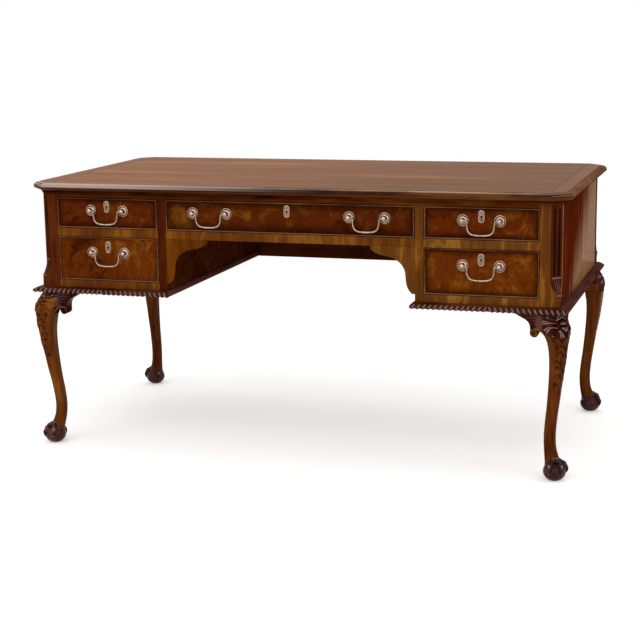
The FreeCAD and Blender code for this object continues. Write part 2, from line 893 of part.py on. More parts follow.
for drawer, column, row in DRAWERS:
    name = drawer + "_drawer"
    low, high = COLUMNS[column]
    bottom, top = ROWS[row]
    middle = middle_of(column)
    key_level = "({} - key_drop_{})".format(top, row)
    pull_level = "({} - pull_drop_{})".format(top, row)
    board_z = ("{} + board_trim".format(bottom), "{} - board_trim".format(top))
    board_x = ("{} + board_trim".format(low), "{} - board_trim".format(high))
    outer_x = ("{} + front_gap".format(low), "{} - front_gap".format(high))
    bead_y = ("-half_deep - bead_proud", "front_back")
    pulls = {name: middle}
    if column == "centre":
        pulls = {name + "_left": "(-centre_pull)", name + "_right": "(centre_pull)"}
    posts = []
    holes = []
    for pull, pull_middle in pulls.items():
        pull_solids, pull_holes = pull_posts(pull, pull_middle, pull_level)
        posts.extend(pull_solids)
        holes.extend(pull_holes)

    board = box(name + "_board", (board_x, ("face_line", "front_back"), board_z))
    lock_x = about(middle, "lock_width")
    lock_z = ("{} - lock_height".format(board_z[1]), board_z[1])
    lock_y = ("front_back - lock_depth", "front_back")
    pocket = box(name + "_pocket", (lock_x, (lock_y[0], "front_back + overrun"), (lock_z[0], board_z[1] + " + overrun")))
    front_key = keyhole(name + "_front_key", middle, key_level, "front_back", "front_thick + overrun")
    bead_top = "{} - front_gap".format(top)
    bead = box(name + "_top_bead", (outer_x, bead_y, (board_z[1], bead_top)))
    bead_slot = box(name + "_bead_slot", bolt_spans(column, "bolt_gap", top + " - board_trim - overrun", top))
    fronts = [
        less(name + "_front_board", board, holes + [pocket, front_key]),
        less(name + "_top_bead_cut", bead, [bead_slot]),
        box(name + "_low_bead", (outer_x, bead_y, ("{} + front_gap".format(bottom), board_z[0]))),
        box(name + "_left_bead", ((outer_x[0], board_x[0]), bead_y, board_z)),
        box(name + "_right_bead", ((board_x[1], outer_x[1]), bead_y, board_z)),
    ]
    node(name + "_front", group(name + "_fronts", fronts))

    wall_z = ("{} + run_gap".format(bottom), "{} - wall_drop".format(top))
    bottom_z = ("{} + bottom_lift".format(bottom), "{} + bottom_lift + bottom_thick".format(bottom))
    wall_x = ("{} + wall_gap".format(low), "{} - wall_gap".format(high))
    inner_x = (wall_x[0] + " + wall_thick", wall_x[1] + " - wall_thick")
    walls = [
        box(name + "_left_wall", ((wall_x[0], inner_x[0]), ("front_back", "wall_back"), wall_z)),
        box(name + "_right_wall", ((inner_x[1], wall_x[1]), ("front_back", "wall_back"), wall_z)),
        box(name + "_rear_wall", (inner_x, ("wall_back - wall_thick", "wall_back"), (bottom_z[1], wall_z[1]))),
    ]
    node(name + "_walls", group(name + "_wall_set", walls))
    node(name + "_bottom", box(name + "_base", (inner_x, ("front_back", "wall_back"), bottom_z)))

    case_block = box(name + "_lock_block", (lock_x, lock_y, lock_z))
    bolt_high = "{} - front_gap - bolt_gap".format(top)
    bolt_low = bolt_high + " - bolt_length"
    bolt_bed = box(name + "_bolt_bed", bolt_spans(column, "bolt_gap", bolt_low + " - bolt_gap", top))
    plate_straight = "plate_height - plate_width"
    plate_bar = box(name + "_plate_bar", (
        about(middle, "plate_width"), ("face_line - plate_thick", "face_line"), about(key_level, plate_straight)))
    plate_ends = [
        rod(name + "_plate_" + label, "plate_width / 2", "plate_thick", "y", (middle, "face_line", level))
        for label, level in zip(("low", "high"), about(key_level, plate_straight))
    ]
    plate = joined(name + "_plate", [plate_bar] + plate_ends)
    plate_key = keyhole(name + "_plate_key", middle, key_level, "face_line + overrun", "plate_thick + 2 * overrun")
    locks = [less(name + "_lock_case", case_block, [bolt_bed]), less(name + "_plate_cut", plate, [plate_key])]
    node(name + "_lock", group(name + "_lock_set", locks))
    node(name + "_bolt", box(name + "_bolt_bar", bolt_spans(column, "0", bolt_low, bolt_high)))

    node(name + "_handle_posts", group(name + "_post_set", posts))
    centre_x = {"left": -1, "centre": 0, "right": 1}[column] * (at("stile_out") + at("post_in")) / 2
    level = at(row + "_top") - at("pull_drop_" + row)
    if column == "centre":
        for side in SIDES:
            pull = "{}_{}_bail".format(name, side)
            node(pull, shaped(pull, bail_shape(SIGNS[side] * at("centre_pull"), level)))
    else:
        node(name + "_bail", shaped(name + "_wire", bail_shape(centre_x, level)))

doc.recompute()
for item in doc.Objects:
    if "Invalid" in item.State or "Error" in item.State:
        raise RuntimeError("{} did not compute".format(item.Name))

os.makedirs("parts", exist_ok=True)
for name, item in nodes.items():
    if item.Shape.isNull() or not item.Shape.isValid():
        raise RuntimeError("{} has no valid shape".format(name))
    item.Shape.exportStep("parts/{}.step".format(name))
print("{} nodes written".format(len(nodes)))
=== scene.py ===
"""Looks of the walnut kneehole desk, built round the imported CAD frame."""
import logging
import math
from collections.abc import Callable, Iterable, Sequence
from dataclasses import dataclass, field, replace
from enum import Enum

import bmesh
import bpy
import numpy as np
from mathutils import Matrix, Vector


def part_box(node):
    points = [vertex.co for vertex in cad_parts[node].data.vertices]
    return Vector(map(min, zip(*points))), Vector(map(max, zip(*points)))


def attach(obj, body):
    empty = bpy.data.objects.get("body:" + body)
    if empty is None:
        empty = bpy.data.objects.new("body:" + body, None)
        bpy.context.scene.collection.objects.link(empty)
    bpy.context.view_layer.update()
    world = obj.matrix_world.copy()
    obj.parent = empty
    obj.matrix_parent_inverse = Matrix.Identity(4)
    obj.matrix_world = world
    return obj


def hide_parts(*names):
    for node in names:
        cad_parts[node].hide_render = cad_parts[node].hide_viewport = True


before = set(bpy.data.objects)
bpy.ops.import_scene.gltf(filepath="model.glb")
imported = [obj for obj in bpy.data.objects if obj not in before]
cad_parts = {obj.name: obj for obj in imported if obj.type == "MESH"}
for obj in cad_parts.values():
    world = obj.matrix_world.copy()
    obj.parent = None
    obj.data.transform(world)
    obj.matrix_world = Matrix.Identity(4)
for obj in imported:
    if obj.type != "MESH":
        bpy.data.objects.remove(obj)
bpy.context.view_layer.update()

LOG = logging.getLogger("kneehole_desk")
MM = 0.001

# Carve shades: a painted shade that runs from 0, darkest in a hollow, to 1, a painted highlight on a ridge;
# PLAIN leaves the colour as it is.
PLAIN = 0.66
# Carve shade of worn-round edges: partly edge wear, partly a painted highlight.
EDGE_WEAR_HIGHLIGHT = 0.86

# Degrees of bend above which an edge is worn round, and stays crisp in the shading.
SHARP = 40.0

# Shares of the walnut's own colours painted into its hollows as shade and onto its ridges as a highlight.
HOLLOW_SHADE_SHARE = 0.40
RIDGE_HIGHLIGHT_SHARE = 1.35

# The polish: its roughness, its weight over sapwood, and the pores that show through it.
COAT_ROUGHNESS = 0.14
SAPWOOD_COAT = 0.15
PORE_STRENGTH = 0.06
PORE_DEPTH = 0.4 * MM

Point = tuple[float, float, float]
Colour = tuple[float, float, float]
Flat = tuple[float, float]
Pick = Callable[[Vector, Vector], int]


class Grain(Enum):
    """Which way the wood's fibres run, as the stretch of its pattern along X, Y and Z."""

    ALONG_X = (2.4, 14.0, 14.0)
    ALONG_Y = (14.0, 2.4, 14.0)
    ALONG_Z = (14.0, 14.0, 2.4)
    LONG_X = (0.55, 10.0, 10.0)
    BURR = (8.0, 8.0, 8.0)


class Corner(Enum):
    """A corner of the desk, as the signs of X, Y and Z that turn the front right one into it."""

    FRONT_LEFT = (-1, 1, 1)
    FRONT_RIGHT = (1, 1, 1)
    BACK_LEFT = (-1, -1, 1)
    BACK_RIGHT = (1, -1, 1)


# Nodes and finishes


def node_group(name: str, kind: str, inputs: dict[str, str], outputs: dict[str, str]) -> bpy.types.NodeTree:
    """Start a node group with named sockets.

    Args:
        name: The group's name.
        kind: The tree's type.
        inputs: Socket kinds by input name.
        outputs: Socket kinds by output name.

    Returns:
        The tree, with its group input and output nodes in place.
    """
    tree = bpy.data.node_groups.new(name, kind)
    for way, sockets in (("INPUT", inputs), ("OUTPUT", outputs)):
        for socket, sort in sockets.items():
            tree.interface.new_socket(socket, in_out=way, socket_type="NodeSocket" + sort)
    tree.nodes.new("NodeGroupInput").name = "in"
    tree.nodes.new("NodeGroupOutput").name = "out"
    return tree


class Wiring:
    """Short calls for adding and linking nodes in one tree."""

    def __init__(self, tree: bpy.types.NodeTree) -> None:
        """Keep the tree that the calls work on."""
        self.tree = tree

    def feed(self, target: bpy.types.Node, sources: dict[object, object]) -> None:
        """Link a node's inputs, or set their values where the source is a plain one.

        Args:
            target: The node.
            sources: Sockets, numbers, vectors or colours by input.
        """
        for key, source in sources.items():
            socket = target.inputs[key]
            if isinstance(source, bpy.types.NodeSocket):
                self.tree.links.new(source, socket)
            else:
                socket.default_value = (*source, 1.0) if socket.type == "RGBA" else source

    def node(self, kind: str, sources: dict[object, object], **values: object) -> bpy.types.Node:
        """Add a node, set plain properties on it and feed its inputs.

        Args:
            kind: The node's type.
            sources: What its inputs are fed.
            values: Its properties.

        Returns:
            The node.
        """
        made = self.tree.nodes.new(kind)
        for key, value in values.items():
            setattr(made, key, value)
        self.feed(made, sources)
        return made

    def noise(self, vector: object, scale: float, detail: float, rough: float, bend: float = 0.0) -> object:
        """Level of a noise texture on a vector."""
        sources = {"Vector": vector, "Scale": scale, "Detail": detail, "Roughness": rough, "Distortion": bend}
        return self.node("ShaderNodeTexNoise", sources).outputs["Fac"]

    def calc(self, operation: str, first: object, second: object) -> bpy.types.NodeSocket:
        """A two-input math node."""
        return self.node("ShaderNodeMath", {0: first, 1: second}, operation=operation).outputs[0]

    def shift(self, operation: str, sources: dict[object, object]) -> bpy.types.NodeSocket:
        """A vector math node."""
        return self.node("ShaderNodeVectorMath", sources, operation=operation).outputs[0]

    def span(self, value: object, low: float, high: float, start: float = 0.0, end: float = 1.0) -> object:
        """Map a value smoothly from one range to another, clamped."""
        ends = {"Value": value, "From Min": low, "From Max": high, "To Min": start, "To Max": end}
        return self.node("ShaderNodeMapRange", ends, interpolation_type="SMOOTHSTEP").outputs["Result"]

    def mix(self, factor: object, first: object, second: object, blend: str = "MIX") -> object:
        """Mix two colours."""
        sources = {0: factor, 6: first, 7: second}
        return self.node("ShaderNodeMix", sources, data_type="RGBA", blend_type=blend).outputs[2]

    def place(self) -> bpy.types.NodeSocket:
        """Object coordinates."""
        return self.node("ShaderNodeTexCoord", {}).outputs["Object"]

    def axis(self, name: str) -> bpy.types.NodeSocket:
        """One of the object coordinates."""
        return self.node("ShaderNodeSeparateXYZ", {0: self.place()}).outputs[name]

    def carve(self) -> bpy.types.NodeSocket:
        """The mesh's carve shade."""
        return self.node("ShaderNodeAttribute", {}, attribute_name="carve").outputs["Fac"]


def walnut_group() -> bpy.types.NodeTree:
    """The figure of walnut: broad tone, streaks or burr, and pores.

    Returns:
        The group, which puts out a colour, a gloss and a relief.
    """
    tree = node_group(
        "walnut_figure", "ShaderNodeTree",
        {"Vector": "Vector", "Dark": "Color", "Mid": "Color", "Light": "Color", "Burr": "Float",
         "Wave": "Float", "Contrast": "Float"},
        {"Colour": "Color", "Gloss": "Float", "Relief": "Float"},
    )
    wire = Wiring(tree)
    given = tree.nodes["in"].outputs
    warp = wire.noise(given["Vector"], 0.9, 3.0, 0.55).node.outputs["Color"]
    swing = wire.shift("SUBTRACT", {0: warp, 1: (0.5, 0.5, 0.5)})
    push = wire.shift("SCALE", {0: swing, "Scale": given["Wave"]})
    place = wire.shift("ADD", {0: given["Vector"], 1: push})
    broad = wire.noise(place, 0.7, 4.0, 0.55)
    streak = wire.noise(place, 3.2, 6.0, 0.62)
    curl = wire.noise(place, 2.1, 5.0, 0.68, bend=1.6)
    blot = wire.node("ShaderNodeMix", {0: given["Burr"], 2: streak, 3: curl}, data_type="FLOAT").outputs[0]
    even = wire.calc("ADD", wire.calc("MULTIPLY", broad, 0.42), wire.calc("MULTIPLY", blot, 0.58))
    spread = wire.calc("MULTIPLY", wire.calc("SUBTRACT", even, 0.5), given["Contrast"])
    tone = wire.calc("ADD", spread, 0.5)
    low = wire.mix(wire.span(tone, 0.34, 0.50), given["Dark"], given["Mid"])
    full = wire.mix(wire.span(tone, 0.50, 0.66), low, given["Light"])
    pore = wire.noise(given["Vector"], 26.0, 2.0, 0.5)
    pit = wire.span(pore, 0.56, 0.70)
    wire.feed(tree.nodes["out"], {
        "Colour": wire.mix(wire.calc("MULTIPLY", pit, 0.30), full, given["Dark"]),
        "Gloss": wire.span(tone, 0.3, 0.7, -0.05, 0.05),
        "Relief": wire.calc("MULTIPLY", pit, -1.0),
    })
    return tree


def painted_shade_group() -> bpy.types.NodeTree:
    """Painted shade that darkens carved hollows, and a painted highlight on their ridges.

    Returns:
        The group, which puts out the colour with its painted shade and highlight.
    """
    tree = node_group(
        "carved_hollows", "ShaderNodeTree",
        {"Colour": "Color", "Carve": "Float", "Hollow": "Color", "Rubbed": "Color"}, {"Colour": "Color"},
    )
    wire = Wiring(tree)
    given = tree.nodes["in"].outputs
    # Painted shade in the hollows, then a painted highlight on the ridges.
    deep = wire.mix(wire.span(given["Carve"], 0.30, 0.62), given["Hollow"], given["Colour"])
    high = wire.mix(wire.span(given["Carve"], 0.78, 1.0, 0.0, 0.75), deep, given["Rubbed"])
    wire.feed(tree.nodes["out"], {"Colour": high})
    return tree


FIGURE = walnut_group()
PAINTED_SHADE = painted_shade_group()


@dataclass(frozen=True)
class Finish:
    """A named surface whose material is built once."""

    name: str

    def material(self) -> bpy.types.Material:
        """Build the material, or return it when it is there already.

        Returns:
            The material of this finish.
        """
        made = bpy.data.materials.get(self.name)
        if made is None:
            made = bpy.data.materials.new(self.name)
            made.use_nodes = True
            self.wire_up(Wiring(made.node_tree), made.node_tree.nodes["Principled BSDF"])
        return made

    def wire_up(self, wire: Wiring, shader: bpy.types.Node) -> None:
        """Feed the material's shader."""
        raise NotImplementedError


@dataclass(frozen=True)
class WalnutFinish(Finish):
    """A polished walnut surface.

    Attributes:
        grain: The way of the fibres.
        dark: The darkest streaks.
        mid: The body colour.
        light: The palest streaks.
        burr: Share of curled burr against straight streaks.
        wave: How far the streaks wander.
        contrast: How far apart dark and light streaks are.
        rough: Mean roughness of the polish.
        shine: Level of the wood's own reflection.
        coat: Weight of the clear coat, the same as the shine where it isn't given.
        carved: Whether the mesh carries a carve shade, painted as shade in hollows and as a highlight on
            ridges.
        sapwood: Colour of a paler strip towards the back, if there is one.
        rubbed: Colour of the painted highlight on the carving's ridges, where it isn't a paler shade of the
            wood.
        worn: Colour of a painted reflection that fades out from the left end, if there is any.
        fade: How much paler the left end is than the middle, and the middle than the right end, as a painted
            reflection.
    """

    grain: Grain
    dark: Colour
    mid: Colour
    light: Colour
    burr: float = 0.0
    wave: float = 0.35
    contrast: float = 1.6
    rough: float = 0.36
    shine: float = 0.0
    coat: float | None = None
    carved: bool = True
    sapwood: Colour | None = None
    rubbed: Colour | None = None
    worn: Colour | None = None
    fade: float = 0.0

    def wire_up(self, wire: Wiring, shader: bpy.types.Node) -> None:
        """Feed the shader with the figure, the wear and the carving.

        Args:
            wire: The material's wiring.
            shader: Its shader.
        """
        fit = wire.node("ShaderNodeMapping", {"Vector": wire.place(), "Scale": self.grain.value})
        figure = wire.node("ShaderNodeGroup", {
            "Vector": fit.outputs[0], "Dark": self.dark, "Mid": self.mid, "Light": self.light,
            "Burr": self.burr, "Wave": self.wave, "Contrast": self.contrast,
        }, node_tree=FIGURE).outputs
        tint = figure["Colour"]
        coat = self.shine if self.coat is None else self.coat
        if self.sapwood:
            pale = self.pale_part(wire)
            tint = wire.mix(pale, tint, self.sapwood)
            coat = wire.calc("MULTIPLY", pale, SAPWOOD_COAT)
        # A painted reflection, pale at the left end and fading out towards the middle.
        if self.worn:
            tint = wire.mix(wire.span(wire.axis("X"), -0.70, 0.15, 0.9, 0.0), tint, self.worn)
        # A painted reflection that makes the left end paler and the right end darker.
        if self.fade:
            light = wire.span(wire.axis("X"), -0.80, 0.90, 1.0 + self.fade, 1.0 - self.fade)
            tint = wire.mix(1.0, tint, light, "MULTIPLY")
        # Painted shade in the carving's hollows and a painted highlight on its ridges, from the carve shade.
        if self.carved:
            tint = wire.node("ShaderNodeGroup", {
                "Colour": tint, "Carve": wire.carve(), "Hollow": [HOLLOW_SHADE_SHARE * part for part in self.dark],
                "Rubbed": self.rubbed or [RIDGE_HIGHLIGHT_SHARE * part for part in self.light],
            }, node_tree=PAINTED_SHADE).outputs["Colour"]
        pores = {"Strength": PORE_STRENGTH, "Distance": PORE_DEPTH, "Height": figure["Relief"]}
        wire.feed(shader, {
            "Base Color": tint,
            "Roughness": wire.calc("ADD", figure["Gloss"], self.rough),
            "Normal": wire.node("ShaderNodeBump", pores).outputs[0],
            "Specular IOR Level": self.shine,
            "Coat Weight": coat,
            "Coat Roughness": COAT_ROUGHNESS,
        })

    @staticmethod
    def pale_part(wire: Wiring) -> object:
        """Where the sapwood is: towards the back, with a streaky edge.

        Args:
            wire: The material's wiring.

        Returns:
            A mask, 1 in the sapwood.
        """
        stretch = {"Vector": wire.place(), "Scale": (1.0, 26.0, 1.8)}
        streaks = wire.node("ShaderNodeMapping", stretch).outputs[0]
        ragged = wire.noise(streaks, 1.0, 4.0, 0.6)
        leaning = wire.calc("ADD", wire.axis("Y"), wire.calc("MULTIPLY", wire.axis("Z"), -1.15))
        edge = wire.calc("ADD", leaning, wire.calc("MULTIPLY", ragged, 0.42))
        return wire.span(edge, -0.62, -0.28, 0.0, 0.90)


@dataclass(frozen=True)
class MetalFinish(Finish):
    """A worn metal with darker tarnish in patches.

    Attributes:
        bright: The rubbed metal.
        tarnish: The dull metal.
        rough: Mean roughness.
        carved: Whether the mesh carries a carve shade, with tarnish in its hollows.
    """

    bright: Colour
    tarnish: Colour
    rough: float
    carved: bool = False

    def wire_up(self, wire: Wiring, shader: bpy.types.Node) -> None:
        """Feed the shader with the metal and its tarnish.

        Args:
            wire: The material's wiring.
            shader: Its shader.
        """
        cloud = wire.noise(wire.place(), 160.0, 4.0, 0.6)
        tint = wire.mix(wire.span(cloud, 0.48, 0.74), self.bright, self.tarnish)
        if self.carved:
            tint = wire.mix(wire.span(wire.carve(), 0.10, 0.80), self.tarnish, tint)
        wire.feed(shader, {
            "Base Color": tint,
            "Roughness": wire.span(cloud, 0.3, 0.7, self.rough - 0.06, self.rough + 0.10),
            "Metallic": 1.0,
        })


class Finishes:
    """The desk's finishes."""

    BURR = WalnutFinish(
        "burr_veneer", Grain.BURR, (0.024, 0.0030, 0.0003), (0.092, 0.0148, 0.0007), (0.190, 0.060, 0.0050),
        burr=1.0, wave=0.9, contrast=1.0, rough=0.32, shine=0.01)
    LOW_BURR = replace(
        BURR, name="lower_burr_veneer", dark=(0.032, 0.0046, 0.0003), mid=(0.112, 0.0205, 0.0008),
        light=(0.205, 0.070, 0.0052))
    RAIL = WalnutFinish(
        "crossbanded_rail", Grain.ALONG_Z, (0.040, 0.0056, 0.0006), (0.082, 0.0185, 0.0014),
        (0.208, 0.087, 0.0115), burr=0.5, wave=0.7, contrast=3.0, shine=0.02)
    RED_RAIL = replace(
        RAIL, name="red_crossbanded_rail", dark=(0.040, 0.0050, 0.0005), mid=(0.094, 0.0205, 0.0014),
        light=(0.180, 0.060, 0.0045), contrast=2.3)
    SPANDREL = replace(
        RAIL, name="shaded_spandrel", dark=(0.030, 0.0040, 0.0004), mid=(0.070, 0.0135, 0.0010),
        light=(0.128, 0.0360, 0.0026), contrast=1.8, shine=0.0)
    STILE = WalnutFinish(
        "stile_walnut", Grain.ALONG_Z, (0.040, 0.0054, 0.0005), (0.080, 0.0160, 0.0011),
        (0.190, 0.072, 0.007), burr=0.35, wave=0.7, contrast=2.8, shine=0.02)
    # Darker, redder copy of the stile walnut for faces turned sideways and for the left posts: painted shade.
    SHADED_RED_STILE = replace(
        STILE, name="red_stile_walnut", dark=(0.020, 0.0018, 0.0002), mid=(0.044, 0.0046, 0.0004),
        light=(0.082, 0.0135, 0.0010), contrast=2.6, shine=0.0, rubbed=(0.130, 0.036, 0.011))
    INNER_STILE = replace(
        SHADED_RED_STILE, name="shaded_stile_walnut", dark=(0.014, 0.0012, 0.0001), mid=(0.030, 0.0028, 0.0002),
        light=(0.058, 0.0085, 0.0006), rubbed=(0.100, 0.026, 0.008))
    # Nearly black: painted shade in the flutes of the canted posts.
    SHADED_FLUTE = WalnutFinish(
        "flute_walnut", Grain.ALONG_Z, (0.010, 0.0014, 0.0003), (0.022, 0.0030, 0.0005),
        (0.040, 0.0070, 0.0009), shine=0.02)
    # A painted highlight for the posts' arrises and the line beside each corner stop.
    ARRIS_HIGHLIGHT = WalnutFinish(
        "rubbed_arris", Grain.ALONG_Z, (0.130, 0.040, 0.024), (0.235, 0.082, 0.053), (0.300, 0.120, 0.082),
        carved=False)
    SIDE = WalnutFinish(
        "end_walnut", Grain.ALONG_Z, (0.030, 0.0024, 0.0005), (0.070, 0.0070, 0.0012),
        (0.125, 0.023, 0.004), wave=0.8, rough=0.30, sapwood=(0.350, 0.180, 0.074))
    # Darker walnut for the kneehole's panels and the spandrels' edges, with the kneehole's shade painted in.
    SHADED_INNER = WalnutFinish(
        "inner_walnut", Grain.ALONG_X, (0.012, 0.0022, 0.0006), (0.034, 0.0060, 0.0012),
        (0.062, 0.015, 0.003), rough=0.45)
    BACK = WalnutFinish(
        "back_walnut", Grain.ALONG_Z, (0.036, 0.007, 0.0014), (0.080, 0.019, 0.0034), (0.135, 0.044, 0.009),
        wave=0.8, shine=0.05, coat=0.04)
    TOP = WalnutFinish(
        "top_walnut", Grain.LONG_X, (0.076, 0.0240, 0.0072), (0.178, 0.067, 0.0225), (0.310, 0.135, 0.055),
        wave=0.45, contrast=1.0, rough=0.44, shine=0.010, coat=0.020, carved=False, fade=0.20)
    TOP_BAND_X = WalnutFinish(
        "top_banding_ends", Grain.ALONG_X, (0.078, 0.028, 0.0100), (0.185, 0.077, 0.0300),
        (0.300, 0.142, 0.066), contrast=0.6, rough=0.44, shine=0.010, coat=0.025, carved=False, fade=0.12)
    TOP_BAND_Y = replace(TOP_BAND_X, name="top_banding_front", grain=Grain.ALONG_Y, fade=0.20)
    LINE = WalnutFinish(
        "stringing", Grain.ALONG_X, (0.016, 0.005, 0.002), (0.026, 0.008, 0.004), (0.038, 0.013, 0.006),
        rough=0.4, shine=0.01, coat=0.02, carved=False)
    EDGE_X = WalnutFinish(
        "moulding_front", Grain.ALONG_X, (0.018, 0.0032, 0.0004), (0.048, 0.0105, 0.0015),
        (0.096, 0.030, 0.006), rough=0.26, shine=0.01, rubbed=(0.190, 0.085, 0.045))
    # The lip's nose and its upward arris along the front and back carry a painted reflection, pale at the
    # left end and fading out to the right; the arris is also paler for facing up, painted light.
    NOSE_REFLECTION = WalnutFinish(
        "worn_front_nose", Grain.ALONG_X, (0.018, 0.0032, 0.0004), (0.050, 0.0125, 0.0024),
        (0.100, 0.034, 0.008), rough=0.26, shine=0.02, worn=(0.400, 0.300, 0.240))
    ARRIS_REFLECTION = WalnutFinish(
        "worn_front_arris", Grain.ALONG_X, (0.070, 0.026, 0.0090), (0.160, 0.070, 0.0320),
        (0.290, 0.155, 0.085), rough=0.24, shine=0.07, worn=(0.450, 0.350, 0.280))
    EDGE_Y = WalnutFinish(
        "moulding_ends", Grain.ALONG_Y, (0.034, 0.0090, 0.0050), (0.085, 0.0280, 0.0150),
        (0.160, 0.064, 0.036), contrast=1.0, rough=0.26)
    # Paler for the upward slopes of the lip's ends: painted light.
    EDGE_TAN = WalnutFinish(
        "moulding_end_slope", Grain.ALONG_Y, (0.080, 0.0300, 0.0140), (0.165, 0.0700, 0.0360),
        (0.240, 0.115, 0.064), contrast=1.0, rough=0.30)
    COVE = WalnutFinish(
        "cove_walnut", Grain.ALONG_X, (0.018, 0.0026, 0.0003), (0.054, 0.0090, 0.0008),
        (0.105, 0.028, 0.004), rough=0.28)
    DARK = WalnutFinish(
        "dark_moulding", Grain.ALONG_X, (0.016, 0.0030, 0.0014), (0.042, 0.0090, 0.0040),
        (0.080, 0.023, 0.011), rough=0.28, shine=0.03)
    DARK_Y = WalnutFinish(
        "dark_moulding_ends", Grain.ALONG_Y, (0.046, 0.0110, 0.0086), (0.105, 0.0340, 0.0270),
        (0.170, 0.072, 0.058), contrast=0.9, rough=0.28)
    BEAD = WalnutFinish(
        "cockbead", Grain.ALONG_X, (0.036, 0.0086, 0.0012), (0.086, 0.0250, 0.0050), (0.150, 0.058, 0.016),
        rough=0.20, shine=0.09, rubbed=(0.330, 0.200, 0.115))
    LEG = WalnutFinish(
        "leg_walnut", Grain.ALONG_Z, (0.038, 0.0064, 0.0006), (0.104, 0.0250, 0.0019),
        (0.180, 0.058, 0.006), wave=0.6, contrast=1.2, rough=0.32, shine=0.02)
    CARVED = WalnutFinish(
        "carved_walnut", Grain.ALONG_Z, (0.016, 0.0028, 0.0016), (0.044, 0.0096, 0.0054),
        (0.095, 0.030, 0.019), wave=0.6, rough=0.22, rubbed=(0.330, 0.205, 0.170))
    FOOT = WalnutFinish(
        "foot_walnut", Grain.ALONG_Z, (0.018, 0.0034, 0.0020), (0.052, 0.0122, 0.0070),
        (0.110, 0.036, 0.023), wave=0.6, rough=0.20, shine=0.08, coat=0.06, rubbed=(0.360, 0.230, 0.195))
    LINING = WalnutFinish(
        "oak_lining", Grain.ALONG_Y, (0.200, 0.105, 0.044), (0.330, 0.190, 0.088), (0.440, 0.275, 0.140),
        rough=0.6, shine=0.2, coat=0.0, carved=False)
    BRASS = MetalFinish("aged_brass", (0.480, 0.350, 0.260), (0.075, 0.034, 0.024), 0.26, carved=True)
    DULL_BRASS = MetalFinish("dull_brass", (0.260, 0.165, 0.110), (0.110, 0.056, 0.038), 0.34)
    STEEL = MetalFinish("bolt_steel", (0.420, 0.410, 0.400), (0.230, 0.215, 0.200), 0.38)


# Mesh helpers


def placed(name: str, data: bpy.types.ID) -> bpy.types.Object:
    """A new object, linked to the scene.

    Args:
        name: The object's name.
        data: The data that it holds.

    Returns:
        The object.
    """
    made = bpy.data.objects.new(name, data)
    bpy.context.scene.collection.objects.link(made)
    return made


def realised(host: bpy.types.Object) -> bpy.types.Mesh:
    """A plain mesh of an object with its modifiers applied."""
    return bpy.data.meshes.new_from_object(host.evaluated_get(bpy.context.evaluated_depsgraph_get()))


def finished(name: str, mesh: bpy.types.Mesh, shell: bmesh.types.BMesh, looks: Sequence[Finish],
             smooth: float | None) -> bpy.types.Object:
    """Turn a shell into an object with its finishes.

    Args:
        name: The object's name.
        mesh: The mesh that takes the shell.
        shell: The shell, which is freed.
        looks: Finishes by number.
        smooth: Angle in degrees under which edges are shaded smooth, or None for flat.

    Returns:
        The linked object, at the origin.
    """
    for look in looks:
        mesh.materials.append(look.material())
    shell.to_mesh(mesh)
    shell.free()
    if smooth is not None:
        mesh.polygons.foreach_set("use_smooth", [True] * len(mesh.polygons))
        mesh.set_sharp_from_angle(angle=math.radians(smooth))
    return placed(name, mesh)


